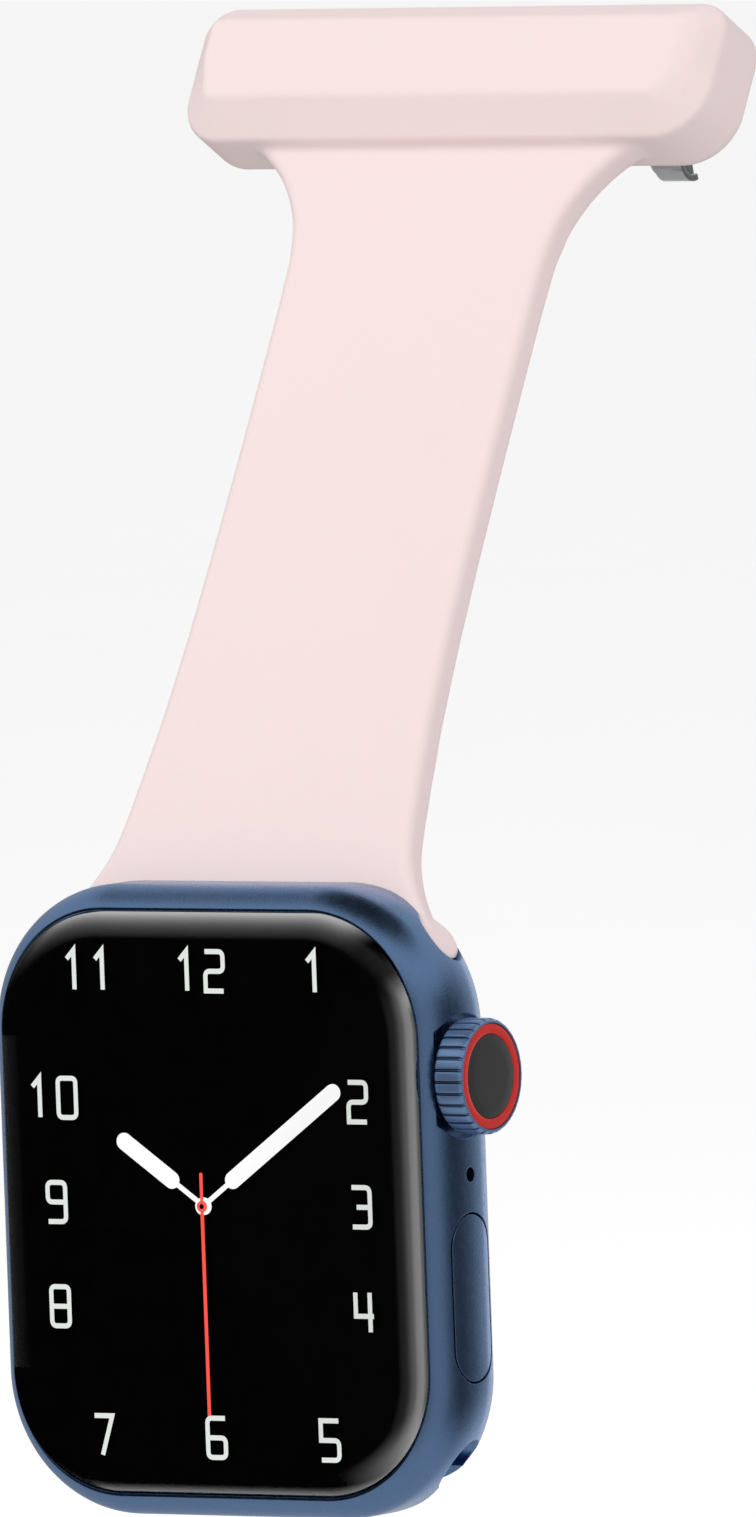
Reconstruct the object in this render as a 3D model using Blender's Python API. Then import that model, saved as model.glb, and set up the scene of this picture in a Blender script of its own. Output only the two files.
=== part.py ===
"""Fob watch: a rounded-rectangle display watch on a soft strap that hangs from a brooch bar
with a safety pin.

Lengths are in millimetres until an object is made. There are two local frames:
  case frame: x to the right, y to the back, z up, zero at the middle of the watch case
  bar frame:  x to the right, w out of the bar's back, u up along the strap,
              zero at the middle of the bar's back face
The shared origin is the zero of the bar frame.
"""

import math

import bmesh
import bpy
import numpy as np

# ---------------------------------------------------------------- driving dimensions (mm)
LEAN = math.radians(29.4)           # the strap leans back from the upright case
CASE_Y, CASE_Z = -37.3, -75.55      # middle of the case seen from the shared origin
# rounded rectangles: half width, half height, corner radius
CASE = (19.0, 22.5, 10.3)
GLASS_SIZE = (17.5, 20.66, 8.8)
BAR_HALF, BAR_TOP, BAR_LOW = 22.3, 5.45, 5.28   # half length, reach up and reach down
STRAP_T = 2.5                       # strap thickness
STRAP_W = -3.45                     # strap mid-plane in the bar frame
STRAP_TOP, STRAP_TOP_HALF = -2.3, 16.5          # upper end along u, and half width there
LUG_Z, LUG_R, SLOT_R = 18.75, 1.68, 1.74
MOUTH = 2.72                        # width of the slot's mouth, across the strap
CROWN, CROWN_R = (-0.33, 9.0), 4.12             # crown axis (y, z)
BUTTON, BUTTON_HALF, BUTTON_R = (-0.17, -6.76), 5.92, 2.3   # middle (y, z)
RELEASE_Z = 15.1                    # height of the release buttons above and below the middle
PIN = PIN_W, PIN_U = 2.4, -2.75     # needle axis in the bar frame
PIN_X, CATCH_X = -15.0, 15.37       # hinge and catch along the needle

SIN, COS = math.sin(LEAN), math.cos(LEAN)
# where the strap's mid-plane meets the height of the slot: along the strap, and in case depth
LUG_U = (LUG_Z + CASE_Z + STRAP_W * SIN) / COS
LUG_Y = STRAP_W * COS + LUG_U * SIN - CASE_Y

X, Y, Z = 0, 1, 2                   # axes of the case frame
W, U = 1, 2                         # second and third axes of the bar frame

for old in list(bpy.data.objects):
    bpy.data.objects.remove(old, do_unlink=True)


# ---------------------------------------------------------------- frames and materials
def case_frame(points):
    return points + np.array([0.0, CASE_Y, CASE_Z])


def bar_frame(points):
    """x, w, u to the shared frame."""
    x, w, u = points[..., 0], points[..., 1], points[..., 2]
    return np.stack([x, w * COS + u * SIN, -w * SIN + u * COS], axis=-1)


def material(name, colour, rough, metal=0.0):
    mat = bpy.data.materials.new(name)
    mat.use_nodes = True
    inputs = mat.node_tree.nodes["Principled BSDF"].inputs
    inputs["Base Color"].default_value = (*colour, 1)
    inputs["Roughness"].default_value = rough
    inputs["Metallic"].default_value = metal
    mat.diffuse_color = (*colour, 1)
    return mat


SILICONE = material("silicone_pink", colour=(0.93, 0.78, 0.76), rough=0.6)
ALU = material("anodised_aluminium", colour=(0.08, 0.16, 0.33), rough=0.38, metal=0.9)
STEEL = material("stainless_steel", colour=(0.62, 0.63, 0.65), rough=0.3, metal=1.0)
GLASS = material("black_glass", colour=(0.012, 0.012, 0.014), rough=0.06)
RUBBER = material("black_rubber", colour=(0.02, 0.02, 0.02), rough=0.8)
SCREEN = material("display_black", colour=(0.015, 0.015, 0.018), rough=0.25)
WHITE = material("hand_white", colour=(0.9, 0.9, 0.9), rough=0.5)
RED = material("red_enamel", colour=(0.55, 0.02, 0.02), rough=0.4)
GREY = material("dark_grey_polymer", colour=(0.05, 0.05, 0.055), rough=0.5)
CELL = material("battery_foil", colour=(0.35, 0.36, 0.38), rough=0.45, metal=0.6)
BOARD = material("circuit_board", colour=(0.02, 0.09, 0.05), rough=0.5)
COPPER = material("copper_winding", colour=(0.72, 0.33, 0.16), rough=0.35, metal=1.0)
CERAMIC = material("back_ceramic", colour=(0.03, 0.04, 0.06), rough=0.12)
MAGNET = material("magnet_nickel", colour=(0.5, 0.49, 0.46), rough=0.3, metal=1.0)


# ---------------------------------------------------------------- objects and booleans
def build(name, verts, faces, mat=None, frame=case_frame, pivot=None):
    """One object from points in a local frame; its origin goes to pivot."""
    points = frame(np.asarray(verts, float))
    origin = np.zeros(3) if pivot is None else frame(np.asarray(pivot, float))
    mesh = bpy.data.meshes.new(name)
    mesh.from_pydata(((points - origin) / 1000).tolist(), [], faces)
    bm = bmesh.new()
    bm.from_mesh(mesh)
    bmesh.ops.recalc_face_normals(bm, faces=bm.faces)
    bm.to_mesh(mesh)
    bm.free()
    if mat:
        mesh.materials.append(mat)
    obj = bpy.data.objects.new(name, mesh)
    obj.location = (origin / 1000).tolist()
    bpy.context.scene.collection.objects.link(obj)
    return obj


def combine(target, tools, operation):
    """Boolean of target with each tool in turn, kept as plain mesh; the tools go."""
    mat = target.data.materials[0]
    for tool in tools:
        modifier = target.modifiers.new("boolean", "BOOLEAN")
        modifier.operation = operation
        modifier.solver = "EXACT"
        modifier.object = tool
        bpy.context.view_layer.update()
        deps = bpy.context.evaluated_depsgraph_get()
        mesh = bpy.data.meshes.new_from_object(target.evaluated_get(deps), depsgraph=deps)
        target.modifiers.clear()
        target.data = mesh
        mesh.materials.clear()
        mesh.materials.append(mat)
        for polygon in mesh.polygons:
            polygon.material_index = 0
        bpy.data.objects.remove(tool, do_unlink=True)


def cut(target, *tools):
    combine(target, tools, "DIFFERENCE")


def join(target, *tools):
    combine(target, tools, "UNION")


def common(target, *tools):
    combine(target, tools, "INTERSECT")


# ---------------------------------------------------------------- flat outlines
def arc(x, z, radius, start, n, sweep=90):
    """n + 1 points; start and sweep in degrees."""
    angles = [math.radians(start + sweep * k / n) for k in range(n + 1)]
    return [(x + radius * math.cos(a), z + radius * math.sin(a)) for a in angles]


def rounded(size, inset=0.0, n=8):
    """Rounded rectangle from (half width, half height, corner radius), drawn in by inset."""
    half_x, half_z, radius = (value - inset for value in size)
    x, z = half_x - radius, half_z - radius
    corners = ((x, z, 0), (-x, z, 90), (-x, -z, 180), (x, -z, 270))
    return np.array([p for cx, cz, start in corners for p in arc(cx, cz, radius, start, n)])


def circle(radius, n, start=0.0):
    a = np.linspace(0, 2 * math.pi, n, endpoint=False) + start
    return np.stack([radius * np.cos(a), radius * np.sin(a)], axis=-1)


def capsule(half, radius, n=8):
    """Upright capsule: half is half its height."""
    z = half - radius
    return np.array(arc(0, z, radius, 0, n, 180) + arc(0, -z, radius, 180, n, 180))


# ---------------------------------------------------------------- solids
def ring_at(outline, axis, position):
    """Outline set square to an axis; its columns go to the other two axes in order."""
    return np.insert(outline, axis, position, axis=1)


def skin(name, rings, mat=None, closed=False, **place):
    """Skin through equal-length rings: flat caps, or the last ring joined to the first."""
    count, size = len(rings), len(rings[0])
    faces = [] if closed else [list(range(size)), list(range((count - 1) * size, count * size))]
    for k in range(count if closed else count - 1):
        a, b = k * size, (k + 1) % count * size
        for i in range(size):
            j = (i + 1) % size
            faces.append([a + i, a + j, b + j, b + i])
    return build(name, np.concatenate(rings), faces, mat, **place)


def prism(name, axis, outline, start, end, mat=None, **place):
    return skin(name, [ring_at(outline, axis, p) for p in (start, end)], mat, **place)


def lathe(name, axis, profile, n, mat=None, centre=(0.0, 0.0), **place):
    """Solid of revolution from (position, radius) pairs; closed=True makes a ring of a loop."""
    rings = [ring_at(circle(radius, n) + centre, axis, p) for p, radius in profile]
    return skin(name, rings, mat, **place)


def band(start, end, outer, inner):
    """Square-edged ring profile for a closed lathe."""
    return [(start, outer), (end, outer), (end, inner), (start, inner)]


def box(name, low, high, mat=None, **place):
    (x0, y0, z0), (x1, y1, z1) = low, high
    outline = np.array([(x0, z0), (x1, z0), (x1, z1), (x0, z1)])
    return prism(name, Y, outline, y0, y1, mat, **place)


def soft_box(name, low, high, radius, mat, edge=0.0, n=3, **place):
    """Box with corners rounded as seen along its second axis, and its end faces bevelled."""
    (x0, y0, z0), (x1, y1, z1) = low, high
    size = ((x1 - x0) / 2, (z1 - z0) / 2, radius)
    middle = ((x0 + x1) / 2, (z0 + z1) / 2)
    rows = [(y0, 0), (y1, 0)]
    if edge:
        rows = [(y0, edge), (y0 + edge, 0), (y1 - edge, 0), (y1, edge)]
    rings = [ring_at(rounded(size, inset, n) + middle, Y, y) for y, inset in rows]
    return skin(name, rings, mat, **place)


def coil(name, centre, axis, length, radius, wire, **place):
    """Three-turn spring of round wire along the unit vector axis; wire is a radius."""
    per_turn, sides = 10, 5
    steps = 3 * per_turn
    axis = np.array(axis, float)
    side = np.cross(axis, [0.3, 0.5, 0.81])
    side /= np.linalg.norm(side)
    third = np.cross(axis, side)
    rings = []
    for k in range(steps + 1):
        a = 2 * math.pi * k / per_turn
        out = math.cos(a) * side + math.sin(a) * third
        rise = wire + (length - 2 * wire) * k / steps
        middle = np.array(centre) + axis * rise + out * radius
        rings.append(middle + circle(wire, sides) @ np.array([out, axis]))
    return skin(name, rings, STEEL, **place)


# ---------------------------------------------------------------- watch case
EDGE_R = 3.0                        # round of the front and back edges
BACK_Y, BACK_INSET = 4.2, 2.5
# each round: its centre y, its direction, its angles in degrees from front to back
EDGE_ROUNDS = ((-1.6, -1, (60, 42, 24, 8, 0)), (1.2, 1, (0, 14, 30, 46, 62)))
BAY_FRONT_Y = -1.6
SEAT_GAP = 0.12
POCKETS = (                         # along y: outline, start, end
    (rounded(GLASS_SIZE, -SEAT_GAP), -7, -3.1),             # glass seat
    (rounded((16.7, 19.9, 8.2)), -3.5, -1.15),              # step behind the glass
    (rounded((16.4, 13.6, 3.0), n=4), BAY_FRONT_Y, 2.9),    # inner bay
    (circle(11.3, 36), 2.5, 7),                             # round back opening
    (circle(13.1, 48), 3.45, 8),                            # back crystal seat
)
SIDE_HOLES = (                      # along x: outline, start, end
    (circle(1.6, 20) + CROWN, 15, 25),
    (circle(CROWN_R + 0.35, 40) + CROWN, 18.32, 26),
    (capsule(BUTTON_HALF + 0.17, BUTTON_R + 0.17) + BUTTON, 17.1, 27),
    (circle(0.8, 12) + BUTTON, 15.2, 17.5),
    (circle(0.54, 14) + (-0.03, 1.98), 15.4, 28),           # round hole by the microphone
    (capsule(2.6, 0.55, 4) + (0.1, -7.9), -29, -15.6),      # lower slot, left side
    (capsule(2.6, 0.55, 4) + (0.1, -1.6), -29.5, -15.7),    # upper slot, left side
)


def case_rings(grow=0.0):
    """Outer skin from front to back, with rounded front and back edges."""
    rows = []
    for y, side, angles in EDGE_ROUNDS:
        for a in np.radians(angles):
            rows.append((y + side * EDGE_R * math.sin(a), EDGE_R * (1 - math.cos(a))))
    rows.append((BACK_Y, BACK_INSET))
    return [ring_at(rounded(CASE, inset - grow), Y, y) for y, inset in rows]


def slot_tools(sign):
    """Strap channel: a round bore along x and a mouth that opens outwards and back."""
    middle = (LUG_Y, sign * LUG_Z)
    across, out = (COS, -sign * SIN), (SIN, sign * COS)
    half, depth = MOUTH / 2, 9
    mouth = np.array([(half, 0), (-half, 0), (-half, depth), (half, depth)])
    return (
        prism("tool", X, circle(SLOT_R, 28) + middle, -30, 30),
        prism("tool", X, mouth @ np.array([across, out]) + middle, -30.5, 30.5),
    )


def release_outline(half, radius, sign):
    """Capsule lying along x at the upper (1) or lower (-1) release button."""
    return capsule(half, radius, 6)[:, ::-1] + (0, sign * RELEASE_Z)


case = skin("watch_case", case_rings(), ALU)
cut(case, *(prism("tool", Y, *pocket) for pocket in POCKETS))
cut(case, *slot_tools(1), *slot_tools(-1))
cut(case, *(prism("tool", X, *hole) for hole in SIDE_HOLES))
for sign in (1, -1):
    cut(case, prism("tool", Y, release_outline(2.6, 0.98, sign), 1.2, 7.5))

# ---------------------------------------------------------------- front glass and display
# y, inset from the glass outline, from back to front
CRYSTAL_ROWS = (
    (-3.42, 0.0), (-4.2, 0.04), (-4.55, 0.22), (-4.82, 0.62), (-5.0, 1.3), (-5.1, 2.4),
)
CAVITY = (15.9, 19.0, 7.3)          # hollow in the back of the glass
DISPLAY_GAP = 0.1

crystal = skin(
    "front_crystal",
    [ring_at(rounded(GLASS_SIZE, inset), Y, y) for y, inset in CRYSTAL_ROWS],
    GLASS,
)
cut(crystal, prism("tool", Y, rounded(CAVITY), -4.97, -3.0))
gasket = prism("crystal_gasket", Y, rounded(GLASS_SIZE, 0.05), -3.38, -3.13, RUBBER)
cut(gasket, prism("tool", Y, rounded((16.75, 19.95, 8.1)), -4, -2.5))
prism("display_panel", Y, rounded(CAVITY, DISPLAY_GAP), -4.52, -3.9, SCREEN)

# ---------------------------------------------------------------- hands
HUB_X, HUB_Z, HUB_R = -0.6, -0.15, 0.62
HAND_T = 0.1
# name, clockwise degrees from 12, y of the front face,
# stem and blade (start, end, half width) along the hand, material
HANDS = (
    ("hour_hand", 304.5, -4.66, (-0.2, 4.0, 0.16), (2.6, 8.6, 0.62), WHITE),
    ("minute_hand", 54.0, -4.79, (-0.2, 4.0, 0.16), (2.6, 14.6, 0.62), WHITE),
    ("second_hand", 180.0, -4.92, (-2.4, 4.0, 0.1), (2.0, 15.2, 0.1), RED),
)


def hub_frame(points):
    """The case frame moved to the hands' axis."""
    return case_frame(points) + np.array([HUB_X, 0.0, HUB_Z])


def hand(name, clock_degrees, y, stem, blade, mat):
    """Two capsules end over end and a round hub."""
    angle = math.radians(clock_degrees)
    along = (math.sin(angle), math.cos(angle))
    across = (along[1], -along[0])
    outlines = []
    for start, end, half_width in (stem, blade):
        outline = capsule((end - start) / 2, half_width, 5) + (0, (start + end) / 2)
        outlines.append(outline @ np.array([across, along]))
    outlines.append(circle(HUB_R, 14))
    join(*(
        prism(name, Y, outline, y, y + HAND_T, mat, frame=hub_frame, pivot=(0, y, 0))
        for outline in outlines
    ))


for row in HANDS:
    hand(*row)

# ---------------------------------------------------------------- inside the case
# name, low corner, high corner, corner radius, material, edge bevel, steps per corner
MODULES = (
    ("battery", (-9.8, BAY_FRONT_Y, -12.9), (5.8, 1.6, 1.4), 1.2, CELL, 0.3, 3),
    ("haptic_motor", (7.0, BAY_FRONT_Y, -12.9), (12.4, 1.6, 3.6), 0.8, STEEL, 0.25, 3),
    ("speaker_module", (-16.1, BAY_FRONT_Y, -11.4), (-10.4, 1.6, 1.0), 0.8, GREY, 0.25, 3),
    ("microphone", (14.7, -0.9, 0.7), (16.1, 1.2, 2.8), 0.3, STEEL, 0, 2),
)
# blocks on the board: low corner, high corner
BOARD_BLOCKS = (
    ((-14.0, -1.0, 3.4), (-6.4, 0.6, 11.8)),
    ((-5.2, -1.0, 4.0), (0.2, 0.3, 11.2)),
    ((1.2, -1.0, 3.2), (4.8, 0.1, 7.0)),
)

for row in MODULES:
    soft_box(*row)
board = soft_box("logic_board", (-15.4, BAY_FRONT_Y, 2.2), (6.0, -0.9, 12.9), 1.0, BOARD)
join(board, *(box("tool", *block) for block in BOARD_BLOCKS))

# ---------------------------------------------------------------- crown
TEETH = 30
GROOVE_AT = math.radians(181.8)     # middle of one groove, turning from +y towards +z
GROOVE_PITCHES = np.array([-0.15, -0.11, 0.11, 0.15])   # groove corners, in tooth pitches
GROOVE_DEPTH = 0.24
KNOB_ROWS = (                       # x, radius, groove depth
    (18.9, 3.7, 0.03), (19.1, 4.02, 0.16), (19.35, CROWN_R, GROOVE_DEPTH),
    (20.95, CROWN_R, GROOVE_DEPTH), (21.2, 4.04, 0.12), (21.3, 3.93, 0.03),
)
CROWN_PIVOT = (18.9, *CROWN)        # inner end of the knob
INLAY_X, INLAY_PIVOT = 20.78, (20.8, *CROWN)
SEAL_X, SEAL_R, SEAL_WIRE = 18.1, 1.29, 0.22

# turned parts: name, material, segments, closed into a ring, origin, (x, radius) profile
CROWN_PARTS = (
    ("crown_ring", RED, 40, True, INLAY_PIVOT, [
        (INLAY_X, 3.76), (21.18, 3.76), (21.24, 3.69), (21.24, 3.06), (21.18, 3.0), (INLAY_X, 3.0),
    ]),
    ("crown_cap", GREY, 36, False, INLAY_PIVOT, [
        (INLAY_X, 2.96), (21.12, 2.96), (21.2, 2.88), (21.26, 1.4),
    ]),
    ("crown_shaft", STEEL, 18, False, CROWN_PIVOT, [
        (14.6, 0.7), (14.75, 0.98), (15.35, 0.98), (15.36, 0.8), (15.74, 0.8), (15.75, 0.98),
        (20.0, 0.98), (20.1, 0.88),
    ]),
    ("crown_bushing", STEEL, 20, True, None, band(16.0, 17.85, 1.55, 1.03)),
    ("crown_seal", RUBBER, 20, True, None, circle(SEAL_WIRE, 8) + (SEAL_X, SEAL_R)),
    ("crown_retainer", STEEL, 18, True, CROWN_PIVOT, band(15.4, 15.7, 1.4, 0.84)),
    ("crown_switch", COPPER, 16, False, None, [
        (13.0, 1.2), (13.4, 1.2), (13.55, 0.8), (13.65, 0.35),
    ]),
)


def knurl(radius, depth):
    """Wide teeth with narrow grooves between them."""
    pitch = 2 * math.pi / TEETH
    a = np.concatenate([GROOVE_AT + pitch * (k + GROOVE_PITCHES) for k in range(TEETH)])
    radii = np.tile([radius, radius - depth, radius - depth, radius], TEETH)
    return np.stack([radii * np.cos(a), radii * np.sin(a)], axis=-1)


knob = skin(
    "crown_knob",
    [ring_at(knurl(radius, depth) + CROWN, X, x) for x, radius, depth in KNOB_ROWS],
    ALU,
    pivot=CROWN_PIVOT,
)
cut(
    knob,
    prism("tool", X, circle(3.8, 40) + CROWN, 20.75, 23),       # pocket in the outer face
    prism("tool", X, circle(1.05, 20) + CROWN, 18, 20.2),       # shaft hole
)
for name, mat, n, closed, pivot, profile in CROWN_PARTS:
    lathe(name, X, profile, n, mat, centre=CROWN, closed=closed, pivot=pivot)
soft_box(
    "crown_thrust_plate",
    (14.1, CROWN[0] - 1.1, CROWN[1] - 1.4),
    (14.5, CROWN[0] + 1.1, CROWN[1] + 1.4),
    0.15, STEEL, n=2,
)
box("crown_sensor", (13.2, -1.5, 5.4), (15.4, 0.7, 6.7), GREY)

# ---------------------------------------------------------------- side button
SWITCH_PROFILE = ((14.9, 1.3), (15.3, 1.3), (15.5, 0.9), (15.62, 0.4))     # x, radius

# the outer face follows the case, sunk by a hair
button = prism(
    "side_button", X, capsule(BUTTON_HALF, BUTTON_R) + BUTTON, 17.35, 24, ALU,
    pivot=(18.0, *BUTTON),
)
common(button, skin("tool", case_rings(-0.02)))
join(button, prism("tool", X, circle(0.7, 12) + BUTTON, 16.1, 17.6))
lathe("side_button_switch", X, SWITCH_PROFILE, 16, COPPER, centre=BUTTON)

# ---------------------------------------------------------------- back of the watch
SEAT_Y = 3.5                        # front of the back crystal and the lens
CRYSTAL_R, WINDOW_R, LENS_R = 12.95, 7.0, 6.9


def dome(radius):
    """(y, radius) on the domed back."""
    return 5.6 - 0.0079 * radius * radius, radius


back_rows = [
    (SEAT_Y, CRYSTAL_R), (dome(CRYSTAL_R)[0] - 0.12, CRYSTAL_R),
    *(dome(radius) for radius in (12.7, 10.5, 8.6, WINDOW_R)), (SEAT_Y, WINDOW_R),
]
lathe("back_crystal", Y, back_rows, 48, CERAMIC, closed=True)
lens_rows = [(SEAT_Y, LENS_R), *(dome(radius) for radius in (LENS_R, 5.2, 3.2, 1.2))]
lathe("sensor_lens", Y, lens_rows, 36, GLASS)
prism("sensor_board", Y, circle(10.8, 30), 2.95, 3.38, BOARD)
lathe("charging_coil", Y, band(1.8, 2.5, 10.6, 6.6), 36, COPPER, closed=True)
prism("charging_magnet", Y, circle(4.4, 24), 1.75, 2.7, MAGNET)

RELEASE_ROWS = ((2.7, 2.5, 0.9), (4.12, 2.5, 0.9), (4.24, 2.38, 0.78))     # y, half, radius
for sign, tag in ((1, "upper"), (-1, "lower")):
    skin(
        "release_button_" + tag,
        [ring_at(release_outline(half, radius, sign), Y, y) for y, half, radius in RELEASE_ROWS],
        ALU,
        pivot=(0, 3, sign * RELEASE_Z),
    )
    coil(
        "release_spring_" + tag, (0, 1.26, sign * RELEASE_Z), (0, 1, 0),
        length=1.38, radius=0.55, wire=0.09,
    )

# ---------------------------------------------------------------- strap
# u, half width, from the bar down to the lug
STRAP_WIDTHS = (
    (STRAP_TOP, STRAP_TOP_HALF), (-5.0, STRAP_TOP_HALF), (-5.6, 15.8), (-6.4, 14.65),
    (-7.8, 13.35), (-9.4, 12.3), (-11.3, 11.45), (-14.0, 10.95), (-17.8, 10.85),
    (-24.0, 10.85), (-31.0, 10.88), (-38.0, 10.98), (-44.0, 11.12), (-50.5, 11.45),
    (LUG_U + 11.2, 11.95), (LUG_U + 8.0, 12.3), (LUG_U + 6.2, 12.6), (LUG_U + 4.9, 13.05),
    (LUG_U + 3.7, 13.6), (LUG_U + 2.6, 14.25), (LUG_U + 1.6, 14.95), (LUG_U + 0.6, 15.7),
    (LUG_U - 0.1, 16.2),
)
STRAP_EDGE_R = 0.75
LUG = (LUG_Y, LUG_Z)                # lug axis in the case frame
LATCH = (0, STRAP_W)                # latch axis (x, w)
LATCH_ROWS = ((-1.65, 0.3), (-1.5, 0.62), (-1.25, 0.8), (-0.3, 0.8))   # u from LUG_U, radius


def strap_ring(u, half):
    outline = rounded((half, STRAP_T / 2, STRAP_EDGE_R), n=2)
    return ring_at(outline + (0, STRAP_W), U, u)


def latch_hole(radius, top):
    """Round hole along u, up to top above the lug axis."""
    outline = circle(radius, 16) + LATCH
    return prism("tool", U, outline, LUG_U - 4.0, LUG_U + top, frame=bar_frame)


strap = skin("fob_strap", [strap_ring(*row) for row in STRAP_WIDTHS], SILICONE, frame=bar_frame)
# the lug's ends follow the case sides
lug = prism("lug", X, circle(LUG_R, 24, start=0.05) + LUG, -18.9, 18.9, SILICONE)
common(lug, prism("tool", Y, rounded(CASE, 0.25), -6, 9))
join(strap, lug)
cut(strap, prism("tool", X, circle(1.12, 20) + LUG, -14.9, 14.9))
lug_core = prism("lug_core", X, circle(1.08, 20) + LUG, -14.8, 14.8, GREY)
cut(strap, latch_hole(0.88, -0.3))
cut(lug_core, latch_hole(0.84, 0.86))
lathe(
    "lug_latch", U, [(LUG_U + rise, radius) for rise, radius in LATCH_ROWS], 16, STEEL,
    centre=LATCH, frame=bar_frame, pivot=(*LATCH, LUG_U),
)
coil(
    "latch_spring", (*LATCH, LUG_U - 0.27), (0, 0, 1),
    length=1.1, radius=0.5, wire=0.08, frame=bar_frame,
)

# ---------------------------------------------------------------- bar
BAR_ROWS = (                        # w, inset, upper corner radius, from front to back
    (-7.8, 2.15, 1.3), (-7.65, 1.85, 1.4), (-5.75, 0.12, 2.5), (-5.45, 0.0, 2.6),
    (-0.9, 0.0, 2.6), (-0.75, 0.06, 2.55), (0.0, 0.8, 1.9),
)
LOW_CORNER_EXTRA = 1.6              # the lower corners are rounder by this
POCKET_HALF = (STRAP_TOP_HALF + 0.06, STRAP_T / 2 + 0.05)   # strap pocket, along x and w
RIVET_X, RIVET_U = 11.3, 1.0
RIVET_ROWS = (                      # w, radius
    (-1.2, 0.66), (-0.03, 0.66), (-0.02, 1.15), (0.16, 1.05), (0.26, 0.7), (0.3, 0.3),
)


def bar_ring(w, inset, radius):
    low = radius + LOW_CORNER_EXTRA
    top_x, top_u = BAR_HALF - inset - radius, BAR_TOP - inset - radius
    low_x, low_u = BAR_HALF - inset - low, low + inset - BAR_LOW
    outline = arc(top_x, top_u, radius, 0, 5) + arc(-top_x, top_u, radius, 90, 5)
    outline += arc(-low_x, low_u, low, 180, 5) + arc(low_x, low_u, low, 270, 5)
    return ring_at(np.array(outline), W, w)


bar = skin("bar_cover", [bar_ring(*row) for row in BAR_ROWS], SILICONE, frame=bar_frame)
pocket_x, pocket_w = POCKET_HALF
cut(
    bar,
    box("tool", (-19.0, -1.28, -3.75), (19.0, 3.0, 3.75), frame=bar_frame),    # back recess
    box(
        "tool", (-pocket_x, STRAP_W - pocket_w, -9.0),
        (pocket_x, STRAP_W + pocket_w, STRAP_TOP + 0.1), frame=bar_frame,
    ),
)
core = soft_box(
    "bar_core", (-18.7, -1.24, -3.5), (18.7, -0.58, 3.5), 0.6, GREY, n=2, frame=bar_frame
)
plate = soft_box(
    "pin_base_plate", (-18.8, -0.54, -3.6), (18.8, -0.06, 3.6), 0.8, STEEL, frame=bar_frame
)
join(plate, box("tool", (-9.0, -0.3, -2.0), (9.0, 0.0, 3.4), frame=bar_frame))
for tag, x in (("left", -RIVET_X), ("right", RIVET_X)):
    middle = (x, RIVET_U)
    for part in (core, plate):
        cut(part, prism("tool", W, circle(0.7, 16) + middle, -2.0, 0.5, frame=bar_frame))
    lathe("rivet_" + tag, W, RIVET_ROWS, 16, STEEL, centre=middle, frame=bar_frame)

# ---------------------------------------------------------------- safety pin hinge and needle
BRACKET_HALF, EAR_INNER = 1.5, 1.08     # outer and inner faces of the ears, from PIN_U
EAR_R = 1.2
HINGE_HOLE_R = 0.56
FOOT_W = (0.03, 0.35)                   # both feet on the plate, from and to
SHANK_ROWS = (                          # x, radius
    (PIN_X + 0.7, 0.45), (14.0, 0.45), (16.2, 0.36), (17.5, 0.16), (18.0, 0.04),
)


def hinge_rod(name, half, radius, mat=None, n=16, **place):
    """Round rod along u through the hinge, half its length each side of the needle axis."""
    outline = circle(radius, n) + (PIN_X, PIN_W)
    return prism(name, U, outline, PIN_U - half, PIN_U + half, mat, frame=bar_frame, **place)


bracket = box(
    "pin_bracket", (PIN_X - 2.0, FOOT_W[0], PIN_U - BRACKET_HALF),
    (PIN_X + 1.8, FOOT_W[1], PIN_U + BRACKET_HALF), STEEL, frame=bar_frame,
)
ear = np.array([
    (PIN_X - EAR_R, 0.1), (PIN_X + EAR_R, 0.1), (PIN_X + EAR_R, PIN_W),
    *((PIN_X + EAR_R * math.cos(a), PIN_W + EAR_R * math.sin(a))
      for a in np.linspace(0.3, math.pi - 0.3, 7)),
    (PIN_X - EAR_R, PIN_W),
])
for start, end in ((-BRACKET_HALF, -EAR_INNER), (EAR_INNER, BRACKET_HALF)):
    join(bracket, prism("tool", U, ear, PIN_U + start, PIN_U + end, frame=bar_frame))
cut(bracket, hinge_rod("tool", 3, HINGE_HOLE_R))
hinge_rod("pin_axle", 1.7, 0.5, STEEL)

needle = hinge_rod("pin_needle", 0.98, 1.0, STEEL, n=20, pivot=(PIN_X, *PIN))
join(needle, lathe("tool", X, SHANK_ROWS, 12, centre=PIN, frame=bar_frame))
cut(needle, hinge_rod("tool", 2, HINGE_HOLE_R))

# ---------------------------------------------------------------- safety pin catch
TAB_ANGLE = math.radians(60)            # from w towards u
TAB = np.array([                        # distance from the needle axis, offset across
    (1.1, -0.35), (2.45, -0.35), (2.6, 0.0), (2.45, 0.35), (1.1, 0.35),
])


def open_ring(name, x0, x1, inner, outer, gap, n, **place):
    """C-shaped ring about the needle axis; its gap faces w, gap degrees to each side."""
    angles = np.radians(np.linspace(gap, 360 - gap, n))
    turns = np.stack([np.cos(angles), np.sin(angles)], axis=-1)
    outline = np.concatenate([outer * turns, inner * turns[::-1]]) + PIN
    size = len(outline)
    faces = []
    for i in range(n - 1):
        j = size - 1 - i
        faces.append([i, i + 1, j - 1, j])
        faces.append([size + i, size + j, size + j - 1, size + i + 1])
    for i in range(size):
        j = (i + 1) % size
        faces.append([i, size + i, size + j, j])
    verts = np.concatenate([ring_at(outline, X, x) for x in (x0, x1)])
    return build(name, verts, faces, STEEL, frame=bar_frame, **place)


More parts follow.
